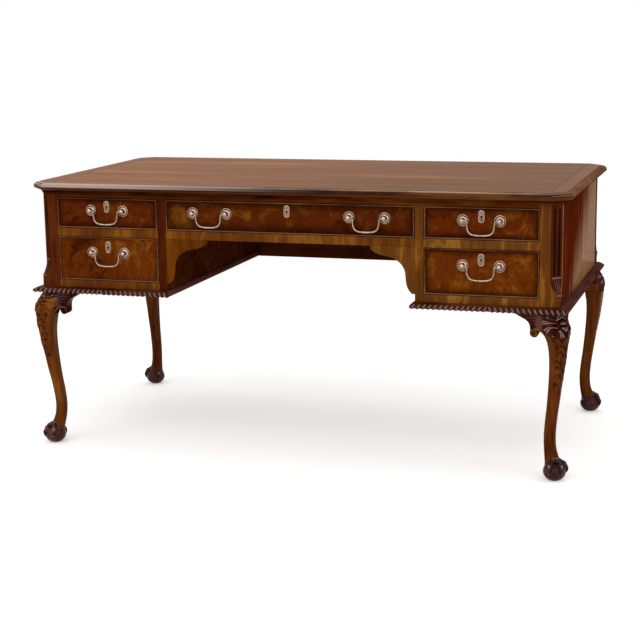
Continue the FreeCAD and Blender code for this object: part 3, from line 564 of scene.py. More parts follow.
@dataclass
class Draft:
    """Vertices, faces and material numbers gathered for one piece."""

    verts: list[Point] = field(default_factory=list)
    faces: list[tuple[int, ...]] = field(default_factory=list)
    slots: list[int] = field(default_factory=list)
    carve: list[float] = field(default_factory=list)

    def add(self, verts: Iterable[Sequence[float]], faces: Sequence[Sequence[int]],
            slots: int | Sequence[int] = 0, carve: float | Sequence[float] = PLAIN) -> None:
        """Append a block of vertices and the faces between them.

        Args:
            verts: Places in metres.
            faces: Vertex numbers within the block.
            slots: The faces' material number, or one for each.
            carve: The vertices' carve shade, or one for each.
        """
        start = len(self.verts)
        self.verts += [tuple(float(part) for part in vert) for vert in verts]
        self.faces += [tuple(start + corner for corner in face) for face in faces]
        self.slots += [slots] * len(faces) if isinstance(slots, int) else list(slots)
        self.carve += np.broadcast_to(carve, len(self.verts) - start).tolist()

    def face(self, slot: int, *corners: int) -> None:
        """Append one face between vertices that are there already."""
        self.faces.append(corners)
        self.slots.append(slot)

    def rings(self, rings: np.ndarray, slots: int | Sequence[int] = 0, carve: float | np.ndarray = PLAIN,
              closed: bool = False) -> None:
        """Append a tube of rings, with flat caps unless it closes on itself.

        Args:
            rings: Array of ring, corner and coordinate.
            slots: The faces' material number, or one for each.
            carve: Carve shades that spread over rings and corners.
            closed: Whether the last ring meets the first.
        """
        count, size = rings.shape[:2]
        faces = []
        for row in range(count if closed else count - 1):
            here, there = row * size, (row + 1) % count * size
            for col in range(size):
                after = (col + 1) % size
                faces.append((here + col, here + after, there + after, there + col))
        if not closed:
            faces.append(tuple(reversed(range(size))))
            faces.append(tuple(range((count - 1) * size, count * size)))
        self.add(rings.reshape(-1, 3), faces, slots, np.broadcast_to(carve, (count, size)).reshape(-1))

    def box(self, low: Point, high: Point) -> None:
        """Append a plain box between two corners."""
        verts = [(x, y, z) for x in (low[0], high[0]) for y in (low[1], high[1]) for z in (low[2], high[2])]
        self.add(verts, [(0, 1, 3, 2), (4, 6, 7, 5), (0, 4, 5, 1), (2, 3, 7, 6), (0, 2, 6, 4), (1, 5, 7, 3)])

    def stamp(self, pattern: "Draft", corner: Corner, slots: Sequence[int] | None = None) -> None:
        """Append another draft, mirrored from the front right corner to another one.

        Args:
            pattern: What is appended.
            corner: Where it goes.
            slots: Its material numbers there, if they differ.
        """
        self.add(np.array(pattern.verts) * corner.value, pattern.faces, slots or pattern.slots, pattern.carve)

    def build(self, name: str, looks: Sequence[Finish], smooth: float | None = 35.0) -> bpy.types.Object:
        """Make the object, with outward normals.

        Args:
            name: The piece's name.
            looks: Finishes by number.
            smooth: Angle in degrees under which edges are shaded smooth, or None for flat.

        Returns:
            The linked object, at the origin.
        """
        mesh = bpy.data.meshes.new(name)
        mesh.from_pydata(self.verts, [], self.faces)
        mesh.polygons.foreach_set("material_index", self.slots)
        mesh.attributes.new("carve", "FLOAT", "POINT").data.foreach_set("value", self.carve)
        shell = bmesh.new()
        shell.from_mesh(mesh)
        bmesh.ops.recalc_face_normals(shell, faces=shell.faces)
        return finished(name, mesh, shell, looks, smooth)


def seat(piece: bpy.types.Object, body: str, slot: str, *nodes: str) -> None:
    """Let a piece ride on a body and stand for CAD nodes.

    Args:
        piece: The finished piece.
        body: The body it moves with.
        slot: Not used.
        nodes: CAD nodes that it replaces.
    """
    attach(piece, body)
    if nodes:
        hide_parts(*nodes)
    LOG.info("%s rides on %s", piece.name, body)


def first_finish(middle: Vector, normal: Vector) -> int:
    """The first finish, for any face."""
    return 0


def soften(node: str, slot: str, looks: Sequence[Finish], width: float, pick: Pick = first_finish) -> None:
    """Put a copy with its sharp edges worn round in place of a CAD node of the desk.

    Args:
        node: The CAD node.
        slot: The name of a material slot, handed on to seat.
        looks: The copy's finishes.
        width: Width of the rounding.
        pick: Number of a face's finish, by its middle and normal.
    """
    shell = bmesh.new()
    shell.from_mesh(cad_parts[node].data)
    bmesh.ops.remove_doubles(shell, verts=shell.verts, dist=0.02 * MM)
    bmesh.ops.dissolve_limit(shell, angle_limit=math.radians(1.0), verts=shell.verts, edges=shell.edges)
    joined = [edge for edge in shell.edges if len(edge.link_faces) == 2]
    sharp = [edge for edge in joined if edge.calc_face_angle() > math.radians(SHARP)]
    made = bmesh.ops.bevel(shell, geom=sharp, offset=width, segments=2, profile=0.5, affect="EDGES",
                           clamp_overlap=True, material=-1)
    layer = shell.verts.layers.float.new("carve")
    for vert in shell.verts:
        vert[layer] = PLAIN
    # Worn-round edges take a paler carve shade: partly edge wear, partly a painted highlight.
    for face in made["faces"]:
        for vert in face.verts:
            vert[layer] = EDGE_WEAR_HIGHLIGHT
    bmesh.ops.triangulate(shell, faces=[face for face in shell.faces if len(face.verts) > 4])
    for face in shell.faces:
        face.material_index = pick(face.calc_center_median(), face.normal)
    name = node + "_softened"
    copy = finished(name, bpy.data.meshes.new(name), shell, looks, SHARP)
    seat(copy, "desk", slot, node)


def dress(look: Finish, *nodes: str) -> None:
    """Give CAD nodes a finish of their own.

    Args:
        look: The finish.
        nodes: The names of the nodes.
    """
    for node in nodes:
        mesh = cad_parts[node].data
        mesh.materials.clear()
        mesh.materials.append(look.material())


def full_turn(count: int) -> np.ndarray:
    """Angles of a full turn in even steps."""
    return np.linspace(0, 2 * math.pi, count, endpoint=False)


def ease(low: float, high: float, value: np.ndarray) -> np.ndarray:
    """A smooth step from 0 at low to 1 at high."""
    part = np.clip((value - low) / (high - low), 0, 1)
    return part * part * (3 - 2 * part)


def smooth_curve(points: Sequence[Sequence[float]], count: int) -> np.ndarray:
    """A Catmull-Rom curve through points.

    Args:
        points: The points it passes through.
        count: How many places to return.

    Returns:
        Places along the curve, evenly spread over its spans.
    """
    table = np.asarray(points, dtype=float)
    padded = np.vstack([2 * table[0] - table[1], table, 2 * table[-1] - table[-2]])
    where = np.linspace(0, len(table) - 1, count)
    span = np.minimum(where.astype(int), len(table) - 2)
    part = (where - span)[:, None]
    before, start, end, after = (padded[span + step] for step in range(4))
    return 0.5 * (2 * start + (end - before) * part + (2 * before - 5 * start + 4 * end - after) * part**2
                  + (3 * start - before - 3 * end + after) * part**3)


def tube(path: np.ndarray, radii: np.ndarray, sides: int = 14, flat: float = 1.0,
         up: Point = (0.0, 1.0, 0.0)) -> np.ndarray:
    """Rings of a tube along a path.

    Args:
        path: Places along the middle.
        radii: Radius at each place.
        sides: Corners of each ring.
        flat: Share of the radius along the up direction.
        up: A direction that the path doesn't follow.

    Returns:
        Array of ring, corner and coordinate.
    """
    ahead = np.gradient(path, axis=0)
    ahead /= np.linalg.norm(ahead, axis=1)[:, None]
    side = np.cross(ahead, np.asarray(up))
    side /= np.linalg.norm(side, axis=1)[:, None]
    lift = np.cross(side, ahead)
    turn = full_turn(sides)[None, :, None]
    across = side[:, None, :] * np.cos(turn) + lift[:, None, :] * (flat * np.sin(turn))
    return path[:, None, :] + across * radii[:, None, None]


def lathe(profile: Iterable[Flat], middle: Point, sides: int = 32) -> np.ndarray:
    """Rings of a turned piece whose axis runs along -Y.

    Args:
        profile: Pairs of distance out from the face and radius.
        middle: The point of the face on the axis.
        sides: Corners of each ring.

    Returns:
        Array of ring, corner and coordinate.
    """
    x, y, z = middle
    turn = full_turn(sides)
    return np.stack([
        np.stack([x + radius * np.cos(turn), np.full(sides, y - out), z + radius * np.sin(turn)], axis=1)
        for out, radius in profile
    ])


# Sub-assemblies


@dataclass
class CaseCorner:
    """Sizes that the pieces at the case's corners share, for the front right one.

    Attributes:
        corner_x: The corner along X.
        corner_y: The corner along Y.
        cant: How much of either side the canted corner takes off.
        leg_top: Height of the legs' upper end.
    """

    corner_x: float = 751.0 * MM
    corner_y: float = -380.0 * MM
    cant: float = 27.5 * MM
    leg_top: float = 457.0 * MM


@dataclass
class DeskTop:
    """The veneered top board with its banding and stringing, and the mouldings round it."""

    clip: float = 38.0 * MM
    line_width: float = 3.0 * MM
    worn: float = 0.5 * MM
    slope: float = 0.3
    level: float = 0.8

    def __post_init__(self) -> None:
        """Read the board's place from the CAD."""
        self.low, self.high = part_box("top_panel")

    def outline(self) -> list[Flat]:
        """The clipped rectangle of the board, from the left end of the front edge.

        Returns:
            Its eight corners, counter-clockwise seen from above.
        """
        half_x, half_y = self.high[0], self.high[1]
        cut_x, cut_y = half_x - self.clip, half_y - self.clip
        return [(-cut_x, -half_y), (cut_x, -half_y), (half_x, -cut_y), (half_x, cut_y),
                (cut_x, half_y), (-cut_x, half_y), (-half_x, cut_y), (-half_x, -cut_y)]

    def board(self) -> None:
        """The board: the field, the line and the banding on its upper side, and plain edges."""
        rim, signs = self.outline(), ((-1, -1), (1, -1), (1, 1), (-1, 1))
        top, reach = self.high[2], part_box("top_field")[1]
        places = [(x, y, top) for x, y in rim]
        for grow in (self.line_width, 0.0):
            places += [(x * (reach[0] + grow), y * (reach[1] + grow), top) for x, y in signs]
        places += [(x, y, self.low[2]) for x, y in rim]
        line, inner, under, last = 8, 12, 16, 24
        draft = Draft()
        draft.add(places, [])
        draft.face(0, *range(inner, under))
        for side in range(4):
            after, first = (side + 1) % 4, 2 * side
            band = 2 + side % 2
            draft.face(1, line + side, line + after, inner + after, inner + side)
            draft.face(band, first, first + 1, line + after, line + side)
            draft.face(band, first + 1, (first + 2) % len(rim), line + after)
        for side in range(len(rim)):
            after = (side + 1) % len(rim)
            draft.face(0, side, under + side, under + after, after)
        draft.face(0, *reversed(range(under, last)))
        looks = (Finishes.TOP, Finishes.LINE, Finishes.TOP_BAND_Y, Finishes.TOP_BAND_X)
        board = draft.build("veneered_top", looks, smooth=None)
        seat(board, "desk", "walnut_field", "top_panel", "top_field")

    def lip(self, middle: Vector, normal: Vector) -> int:
        """Finish of the lip's face: by its slope at the ends, and along the front and the back; faces that
        turn up take paler finishes as painted light, and the front and back ones a painted reflection.

        Args:
            middle: The middle of the face.
            normal: The normal of the face.

        Returns:
            The index of its finish.
        """
        if abs(middle.x) - self.high[0] > abs(middle.y) - self.high[1]:
            return 3 if normal.z > self.slope else 1
        return 0 if normal.z < self.slope else 2 if normal.z > self.level else 4

    def build(self) -> None:
        """Make the board and the mouldings."""
        self.board()
        edge = (Finishes.EDGE_X, Finishes.EDGE_Y, Finishes.ARRIS_REFLECTION, Finishes.EDGE_TAN, Finishes.NOSE_REFLECTION)
        soften("top_edge_moulding", "walnut_moulding", edge, self.worn, self.lip)
        soften("top_cove_moulding", "walnut_moulding", (Finishes.COVE,), self.worn)


@dataclass
class Carcase(CaseCorner):
    """The case's panels, rails and posts, with their edges worn round."""

    worn: float = 0.8 * MM
    red_to: float = 400.0 * MM
    arris: Flat = (0.75, 0.985)
    canted: float = 0.3
    facing: float = 0.5
    hidden: tuple[str, ...] = ("dust_boards", "drawer_guides", "drawer_stops")

    def post(self, middle: Vector, normal: Vector) -> int:
        """Finish of a post's face: the flutes in painted shade, the end's arris as a painted highlight, the
        cants, the sideways faces and the left posts in a darker copy as painted shade, or the rest.

        Args:
            middle: The middle of the face.
            normal: The normal of the face.

        Returns:
            The index of its finish.
        """
        across, along = self.corner_x - abs(middle.x), -self.corner_y - abs(middle.y)
        if max(across, along) < self.cant and across + along > self.cant + self.worn / 2:
            return 2
        if self.arris[0] < abs(normal.x) < self.arris[1]:
            return 3
        return int(middle.x < 0 or abs(normal.x) > self.canted)

    def rail(self, middle: Vector, normal: Vector) -> int:
        """Finish of a rail's face: the top rail in the dark cove finish as painted shadow under the top, then
        the redder rails, then the right hand ones.

        Args:
            middle: The middle of the face.
            normal: The normal of the face, which makes no difference here.

        Returns:
            The index of its finish.
        """
        if middle.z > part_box("centre_drawer_front")[1][2]:
            return 2
        return int(middle.x < self.red_to)

    def left(self, middle: Vector, normal: Vector) -> int:
        """Finish of a stile's face, by its side of the desk."""
        return int(middle.x < 0)

    def bracket(self, middle: Vector, normal: Vector) -> int:
        """Finish of a spandrel's face: the front and back by their side of the desk, then the edges."""
        return int(middle.x < 0) if abs(normal.y) > self.facing else 2

    def rear(self, middle: Vector, normal: Vector) -> int:
        """Finish of a panel's face: the back, or the rest."""
        return int(normal.y > self.facing)

    def build(self) -> None:
        """Make a worn copy of each node that shows and dress the rest."""
        posts = (Finishes.STILE, Finishes.SHADED_RED_STILE, Finishes.SHADED_FLUTE, Finishes.ARRIS_HIGHLIGHT)
        shown = {
            "front_corner_posts": (posts, self.post),
            "back_corner_posts": (posts, self.post),
            "end_panels": ((Finishes.SIDE,), first_finish),
            "kneehole_panels": ((Finishes.SHADED_INNER,), first_finish),
            "pedestal_backs": ((Finishes.BACK,), first_finish),
            "modesty_panel": ((Finishes.SHADED_INNER, Finishes.BACK), self.rear),
            "inner_stiles": ((Finishes.STILE, Finishes.INNER_STILE), self.left),
            "front_rails": ((Finishes.RAIL, Finishes.RED_RAIL, Finishes.COVE), self.rail),
            "kneehole_spandrels": ((Finishes.RAIL, Finishes.SPANDREL, Finishes.SHADED_INNER), self.bracket),
        }
        for node, (looks, pick) in shown.items():
            soften(node, "walnut_case", looks, self.worn, pick)
        dress(Finishes.LINING, *self.hidden)


@dataclass
class CornerStops(CaseCorner):
    """The bead, tongue and lip where each canted corner runs out, and a pale line along the arris beside it,
    a painted highlight.
    """

    low: float = 487.0 * MM
    high: float = 541.0 * MM
    bead_level: float = 549.0 * MM
    bead: float = 2.4 * MM
    bead_short: float = 5.5 * MM
    lip_rise: float = 17.0 * MM
    lip_half: float = 6.5 * MM
    lip: float = 2.9 * MM
    arris: float = 2.0 * MM
    arris_rise: float = 4.0 * MM
    arris_sunk: float = 0.78
    arris_way: Flat = (0.924, 0.383)
    ridge_rise: float = 9.0 * MM
    ridges: tuple[Flat, ...] = ((-7.4, 3.0), (0.0, 4.0), (7.4, 3.0))

    def cut(self, level: float) -> float:
        """How far the cant is cut in at a level."""
        return float(ease(self.low, self.high, np.array(level))) * self.cant

    def edge(self, level: float) -> Point:
        """A place just inside the arris between the cant and the end, at the front right corner.

        Args:
            level: Its height.

        Returns:
            The place.
        """
        sunk = self.arris_sunk * self.arris
        way_x, way_y = self.arris_way
        return (self.corner_x - way_x * sunk, self.corner_y + self.cut(level) + way_y * sunk, level)

    def spot(self, aside: float, level: float) -> Point:
        """A place on the stop, aside from the corner's diagonal, at the front right corner."""
        inwards, shift = self.cut(level) / 2, aside * math.sqrt(0.5)
        return (self.corner_x - inwards + shift, self.corner_y + inwards + shift, level)

    def build(self) -> None:
        """Make the four corners' stops as one piece."""
        draft = Draft()
        half = self.cant * math.sqrt(0.5) - self.bead_short
        beads = ((self.bead_level, half, self.bead), (self.low + self.lip_rise, self.lip_half, self.lip))
        # The beads carry a high carve shade, a painted highlight.
        for level, reach, size in beads:
            across = np.array([self.spot(aside, level) for aside in np.linspace(-reach, reach, 7)])
            draft.rings(tube(across, np.full(7, size), 12, up=(0.0, 0.0, 1.0)), carve=0.90)
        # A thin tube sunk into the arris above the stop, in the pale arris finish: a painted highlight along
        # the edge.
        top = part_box("top_cove_moulding")[0][2]
        arris_highlight_line = np.array([self.edge(level) for level in np.linspace(self.low + self.arris_rise, top, 40)])
        draft.rings(tube(arris_highlight_line, np.full(40, self.arris), 10, up=(1.0, 0.0, 0.0)), 1, 0.70)
        steps, sides = 22, 12
        levels = np.linspace(self.bead_level - self.bead, self.low + self.ridge_rise, steps)
        swell = np.sin(np.linspace(0.55, math.pi - 0.12, steps)) ** 0.8
        fade = 1 - 0.55 * np.linspace(0, 1, steps)
        # Carve shades across each tongue ridge, higher on its flanks than on its crest: painted light and
        # shade.
        facing = 0.5 + 0.5 * np.abs(np.cos(full_turn(sides)))
        for aside, size in self.ridges:
            path = np.array([self.spot(aside * MM * share, level) for share, level in zip(fade, levels)])
            draft.rings(tube(path, size * swell * MM, sides, up=(1.0, 1.0, 0.0)), carve=facing - 0.12)
        whole = Draft()
        for corner in Corner:
            whole.stamp(draft, corner)
        looks = (Finishes.CARVED, Finishes.ARRIS_HIGHLIGHT)
        seat(whole.build("corner_stops_carved", looks, smooth=50.0), "desk", "walnut_case")


@dataclass
class BaseMoulding:
    """The moulding round the foot of each pedestal, mitred at its corners."""

    reach: float = 24.0 * MM
    knee_reach: float = 11.0 * MM
    knee_short: float = 20.0 * MM
    profile: tuple[Flat, ...] = (
        (0.0, 16.0), (5.0, 16.0), (8.0, 15.6), (11.5, 14.5), (15.0, 13.0), (18.5, 11.2), (21.5, 9.4),
        (23.4, 7.4), (24.0, 5.4), (23.4, 3.4), (21.6, 1.8), (18.6, 0.6), (15.0, 0.0), (0.0, 0.0),
    )

    def build(self) -> None:
        """Sweep the profile along the kneehole side, the front and the end of both pedestals."""
        low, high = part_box("right_gadroon_moulding")
        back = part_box("plain_base_mouldings")[1][1]
        out, level = np.array(self.profile).T * MM
        level = low[2] + level
        knee = low[0] + self.knee_reach - out * self.knee_reach / self.reach
        side = high[0] - self.reach + out
        front = low[1] + self.reach - out
        still = np.zeros(len(out))
        corners = ((knee, still + back - self.knee_short), (knee, front), (side, front), (side, still + back))
        rings = np.stack([np.stack([x, y, level], axis=1) for x, y in corners])
        slots = [1] * len(out) + [0] * len(out) + [1] * (len(out) + 2)
        draft = Draft()
        for way in (1.0, -1.0):
            draft.rings(rings * (way, 1.0, 1.0), slots)
        piece = draft.build("base_mouldings_mitred", (Finishes.DARK, Finishes.DARK_Y))
        seat(piece, "desk", "walnut_moulding", "left_gadroon_moulding", "right_gadroon_moulding",
             "plain_base_mouldings")


@dataclass
class GadroonRun:
    """Oblique carved lobes along a front base moulding, leaning away from its middle."""

    node: str
    pitch: float = 15.0 * MM
    nose: float = 7.2 * MM
    rise: float = 5.8 * MM
    lobe_path: float = 4.6 * MM
    lobe_half_width: float = 5.4 * MM
    lobe_depth: float = 3.8 * MM
    lobe_wrap: float = 112.0
    slant: float = 6.6 * MM

    def lobe(self, lean: float) -> bpy.types.Object:
        """One lobe bent round the nose of the moulding, about the nose's middle.

        Args:
            lean: 1 where the lobe's foot is further along X than its head, -1 where it's the other way.

        Returns:
            The lobe.
        """
        steps, sides = 13, 10
        turn = np.linspace(math.radians(self.lobe_wrap), math.radians(-self.lobe_wrap), steps)
        share = np.linspace(-1, 1, steps)
        path = np.stack([lean * self.slant * share, -self.lobe_path * np.cos(turn),
                         self.lobe_path * np.sin(turn)], axis=1)
        swell = np.sqrt(np.clip(1.06 - share**2, 0.02, 1))
        around = full_turn(sides)
        aside, above = np.cos(around)[None, :, None], np.sin(around)[None, :, None]
        outward = np.stack([np.zeros(steps), -np.cos(turn), np.sin(turn)], axis=1)
        rings = (path[:, None, :] + aside * np.array([self.lobe_half_width, 0, 0]) * swell[:, None, None]
                 + above * outward[:, None, :] * (self.lobe_depth * swell)[:, None, None])
        draft = Draft()
        # Carve shades paint a highlight along each lobe's crest and shade down its sides.
        draft.rings(rings, carve=0.08 + 0.90 * np.clip(np.sin(around), 0, 1) ** 1.2)
        return draft.build("gadroon_lobe", (Finishes.CARVED,))

    def tree(self) -> bpy.types.NodeTree:
        """The node tree that repeats a lobe along a line.

        Returns:
            The tree, which is built once and found by its name after that.
        """
        known = bpy.data.node_groups.get("gadroon_run")
        if known:
            return known
        tree = node_group(
            "gadroon_run", "GeometryNodeTree",
            {"Lobe": "Object", "Count": "Int", "Start": "Vector", "Step": "Vector", "Finish": "Material"},
            {"Geometry": "Geometry"},
        )
        wire = Wiring(tree)
        given = tree.nodes["in"].outputs
        line = wire.node("GeometryNodeMeshLine", {
            "Count": given["Count"], "Start Location": given["Start"], "Offset": given["Step"]})
        lobe = wire.node("GeometryNodeObjectInfo", {"Object": given["Lobe"]})
        copies = wire.node("GeometryNodeInstanceOnPoints", {
            "Points": line.outputs["Mesh"], "Instance": lobe.outputs["Geometry"]})
        real = wire.node("GeometryNodeRealizeInstances", {"Geometry": copies.outputs["Instances"]})
        finish = wire.node("GeometryNodeSetMaterial", {
            "Geometry": real.outputs["Geometry"], "Material": given["Finish"]})
        wire.feed(tree.nodes["out"], {"Geometry": finish.outputs["Geometry"]})
        return tree

    def half(self, side: str, lean: float, count: int, start: Point) -> None:
        """Repeat the lobe outwards from the middle and turn the result into a plain mesh.

        Args:
            side: Which half it is.
            lean: The lobes' lean, also the way that the half runs along X.
            count: How many lobes there are.
            start: The first lobe's place.
        """
        lobe = self.lobe(lean)
        tree = self.tree()
        host = placed("gadroon_host", bpy.data.meshes.new("gadroon_host"))
        repeat = host.modifiers.new("gadroon", "NODES")
        repeat.node_group = tree
        values = {"Lobe": lobe, "Count": count, "Start": start, "Step": (lean * self.pitch, 0.0, 0.0),
                  "Finish": Finishes.CARVED.material()}
        for item in tree.interface.items_tree:
            if item.name in values:
                repeat[item.identifier] = values[item.name]
        piece = placed(f"{self.node}_{side}_lobes", realised(host))
        for spare in (host, lobe):
            bpy.data.objects.remove(spare)
        seat(piece, "desk", "walnut_moulding")

    def build(self) -> None:
        """Repeat the lobe along both halves of the moulding."""
        low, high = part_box(self.node)
        middle = (low[0] + high[0]) / 2
        count = int((high[0] - low[0]) / self.pitch / 2)
        for side, lean in (("left", -1.0), ("right", 1.0)):
            start = (middle + lean * self.pitch / 2, low[1] + self.nose, low[2] + self.rise)
            self.half(side, lean, count, start)


@dataclass
class Drawer:
    """One drawer's front, pulls and lock plate.

    Attributes:
        name: The drawer's name in the CAD nodes.
        pulls: Middle of each pull along X, with the bail's body.
        pull_drop: From the opening's top edge down to the posts.
        key_drop: From the opening's top edge down to the keyhole.
        veneer: The front's finish.
        edge_shade: Carve shade of the front's edges.
        field_shade: Carve shade of the front's middle, lower on a darker front.
        rosette: Distance out and radius in mm, and wear, along a rosette and its ball head.
        nut: Distance in and radius in mm along a nut and its shank.
        neck: Half of a bail's middle line in mm, from the post to beside the lowest point.
        neck_low: The bail's lowest point in mm.
        neck_size: Shares of the way from the bail's middle to the post, and its radius in mm there.
    """

    name: str
    pulls: dict[str, float]
    pull_drop: float
    key_drop: float
    veneer: WalnutFinish = Finishes.BURR
    edge_shade: float = 0.38
    field_shade: float = PLAIN
    gap: float = 1.5 * MM
    bead: float = 3.5 * MM
    recess: float = 3.5 * MM
    band: float = 27.0 * MM
    bead_highlight: tuple[float, ...] = (0.38, 0.38, 0.30, 0.30)
    key_radius: float = 3.0 * MM
    key_slot: float = 2.6 * MM
    key_length: float = 8.0 * MM
    key_depth: float = 6.0 * MM
    key_rim: float = 0.7 * MM
    key_margin: float = 0.9 * MM
    lock_width: float = 44.0 * MM
    lock_height: float = 36.0 * MM
    lock_depth: float = 10.0 * MM
    lock_room: float = 0.15 * MM
    plate_width: float = 17.5 * MM
    plate_height: float = 34.0 * MM
    plate_thick: float = 1.4 * MM
    plate_rim: float = 1.2 * MM
    half_pull: float = 49.8 * MM
    pivot: float = 13.0 * MM
    rosette: tuple[Point, ...] = (
        (0.0, 15.6, 0.4), (1.0, 16.0, 0.9), (1.9, 15.5, 0.9), (2.3, 14.4, 0.4), (2.0, 13.3, 0.1),
        (2.3, 12.4, 0.3), (3.4, 11.9, 0.8), (4.9, 10.4, 0.9), (5.9, 8.4, 0.5), (6.3, 6.6, 0.1),
        (6.5, 5.2, 0.0), (8.0, 4.7, 0.0), (9.4, 5.2, 0.0), (11.0, 6.2, 0.1), (13.0, 6.6, 0.4),
        (15.0, 6.1, 0.7), (16.6, 4.6, 1.0), (17.5, 2.4, 1.0), (17.7, 0.5, 1.0),
    )
    nut: tuple[Flat, ...] = ((0.0, 6.4), (4.2, 6.4), (5.0, 5.6), (5.0, 3.0), (6.4, 3.0), (6.8, 2.2))
    neck: tuple[Flat, ...] = (
        (49.8, 0.0), (45.0, -0.2), (40.6, -0.4), (37.6, -3.2), (36.7, -8.0), (36.3, -14.5), (35.2, -22.5),
        (31.4, -30.4), (24.0, -35.6), (12.0, -37.8),
    )
    neck_low: float = -38.2
    neck_size: tuple[tuple[float, ...], ...] = ((0.0, 0.35, 0.62, 0.85, 1.0), (2.8, 2.4, 2.0, 2.1, 2.5))

    def __post_init__(self) -> None:
        """Read the front's place from the CAD."""
        self.low, self.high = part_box(self.name + "_front")
        self.face = self.low[1] + self.recess
        self.back = self.high[1]
        self.middle = (self.low[0] + self.high[0]) / 2
        top = self.high[2] + self.gap
        self.pull_level = top - self.pull_drop
        self.key_level = top - self.key_drop

    def build(self) -> None:
        """Make the front, its bead, the pulls and the lock plate, and dress the rest."""
        self.front()
        self.cockbead()
        self.plate_rims()
        self.posts()
        for bail, middle in self.pulls.items():
            self.bail(bail, middle)
        dress(Finishes.LINING, self.name + "_walls", self.name + "_bottom")
        dress(Finishes.DULL_BRASS, self.name + "_lock")
        dress(Finishes.STEEL, self.name + "_bolt")

    def finish(self, draft: Draft, name: str, slot: str, look: Finish, *nodes: str) -> None:
        """Make a piece of the drawer and let it ride on it."""
        seat(draft.build(self.name + name, (look,)), self.name, slot, *nodes)

    @staticmethod
    def drawn_in(low: Flat, high: Flat, by: float) -> list[Flat]:
        """Corners of an upright rectangle drawn in on all sides, from the lower left one round."""
        (x0, z0), (x1, z1) = low, high
        return [(x0 + by, z0 + by), (x1 - by, z0 + by), (x1 - by, z1 - by), (x0 + by, z1 - by)]

    def corners(self, by: float) -> list[Flat]:
        """Corners of the front, drawn in."""
        return self.drawn_in((self.low[0], self.low[2]), (self.high[0], self.high[2]), by)

    def keyhole_outline(self, grow: float = 0.0) -> list[Flat]:
        """The keyhole's outline about its bow, a round with a slot below, grown all round.

        Args:
            grow: How far it is grown.

        Returns:
            Its points, across and up from the middle of the bow.
        """
        radius, half = self.key_radius + grow, self.key_slot / 2 + grow
        start = math.asin(half / radius)
        turns = np.linspace(-math.pi / 2 + start, 1.5 * math.pi - start, 20)
        round_part = [(radius * math.cos(turn), radius * math.sin(turn)) for turn in turns]
        low = -self.key_length - grow
        return round_part + [(-half, low), (half, low)]

    def front(self) -> None:
        """The board: burr veneer with painted shade that darkens it towards its edges, and the keyhole."""
        outer = self.corners(self.bead)
        inner = self.drawn_in(outer[0], outer[2], self.band)
        places = [(x, self.face, z) for x, z in outer + inner] + [(x, self.back, z) for x, z in outer]
        draft = Draft()
        draft.add(places, [])
        draft.face(0, 4, 5, 6, 7)
        for side in range(4):
            after = (side + 1) % 4
            draft.face(0, side, after, 4 + after, 4 + side)
            draft.face(0, side, 8 + side, 8 + after, after)
        draft.face(0, 11, 10, 9, 8)
        board = draft.build(self.name + "_veneered_front", (self.veneer,), smooth=None)
        self.cut_lock(board)
        seat(board, self.name, "walnut_burr", self.name + "_front")

    def cut_lock(self, board: bpy.types.Object) -> None:
        """Cut the keyhole part way in and the lock's pocket into the back, then shade the board's edges.

        Args:
            board: The front board of the drawer.
        """
        depths = (self.face - self.plate_thick, self.face + self.key_depth)
        outline = [(self.middle + x, self.key_level + z) for x, z in self.keyhole_outline()]
        cutter = Draft()
        cutter.rings(np.array([[(x, depth, z) for x, z in outline] for depth in depths]))
        half, top = self.lock_width / 2 + self.lock_room, self.high[2] - self.bead
        low = top - self.lock_height - self.lock_room
        cutter.box((self.middle - half, self.back - self.lock_depth - self.lock_room, low),
                   (self.middle + half, self.back + MM, top + MM))
        tool = cutter.build("lock_tool", (self.veneer,), smooth=None)
        cut = board.modifiers.new("lock", "BOOLEAN")
        cut.object = tool
        cut.solver = "EXACT"
        mesh = realised(board)
        board.modifiers.clear()
        board.data = mesh
        bpy.data.objects.remove(tool)
        shades = [self.edge_shade if self.on_rim(vert.co) else self.field_shade for vert in mesh.vertices]
        mesh.attributes["carve"].data.foreach_set("value", shades)

    def on_rim(self, place: Vector) -> bool:
        """Whether a point lies on the outer edge of the board.

        Args:
            place: The point.

        Returns:
            True where it is no further in than the width of the bead.
        """
        near_x = min(place.x - self.low[0], self.high[0] - place.x)
        near_z = min(place.z - self.low[2], self.high[2] - place.z)
        return min(near_x, near_z) < self.bead + 0.1 * MM

    def cockbead(self) -> None:
        """The rounded bead round the front, mitred at the corners."""
        half = self.bead / 2
        turns = np.linspace(0, math.pi, 9)
        nose = [(half - half * math.cos(turn), self.low[1] + half - half * math.sin(turn)) for turn in turns]
        profile = [(0.0, self.back)] + nose + [(self.bead, self.back)]
        crest = np.concatenate([[0.0], np.sin(turns), [0.0]])
        spots = [self.corners(inset) for inset, _ in profile]
        rings = np.array([[(x, y, z) for (x, z), (_, y) in zip(ring, profile)] for ring in zip(*spots)])
        draft = Draft()
        # The bead's crest carries a painted highlight, stronger along the lower edge than the upper.
        draft.rings(rings, carve=0.5 + np.array(self.bead_highlight)[:, None] * crest, closed=True)
        self.finish(draft, "_cockbead", "walnut_burr", Finishes.BEAD)

    def plate_rims(self) -> None:
        """Raised rims round the lock plate and its keyhole."""
        half = self.plate_width / 2 - self.plate_rim
        rise = (self.plate_height - self.plate_width) / 2
        turns = np.linspace(0, math.pi, 13)
        upper = [(half * math.cos(turn), rise + half * math.sin(turn)) for turn in turns]
        lower = [(-x, -z) for x, z in upper]
        draft = Draft()
        draft.rings(self.wire(upper + lower, self.plate_rim), closed=True)
        draft.rings(self.wire(self.keyhole_outline(self.key_margin), self.key_rim), closed=True)
        self.finish(draft, "_escutcheon_rim", "brass", Finishes.BRASS)

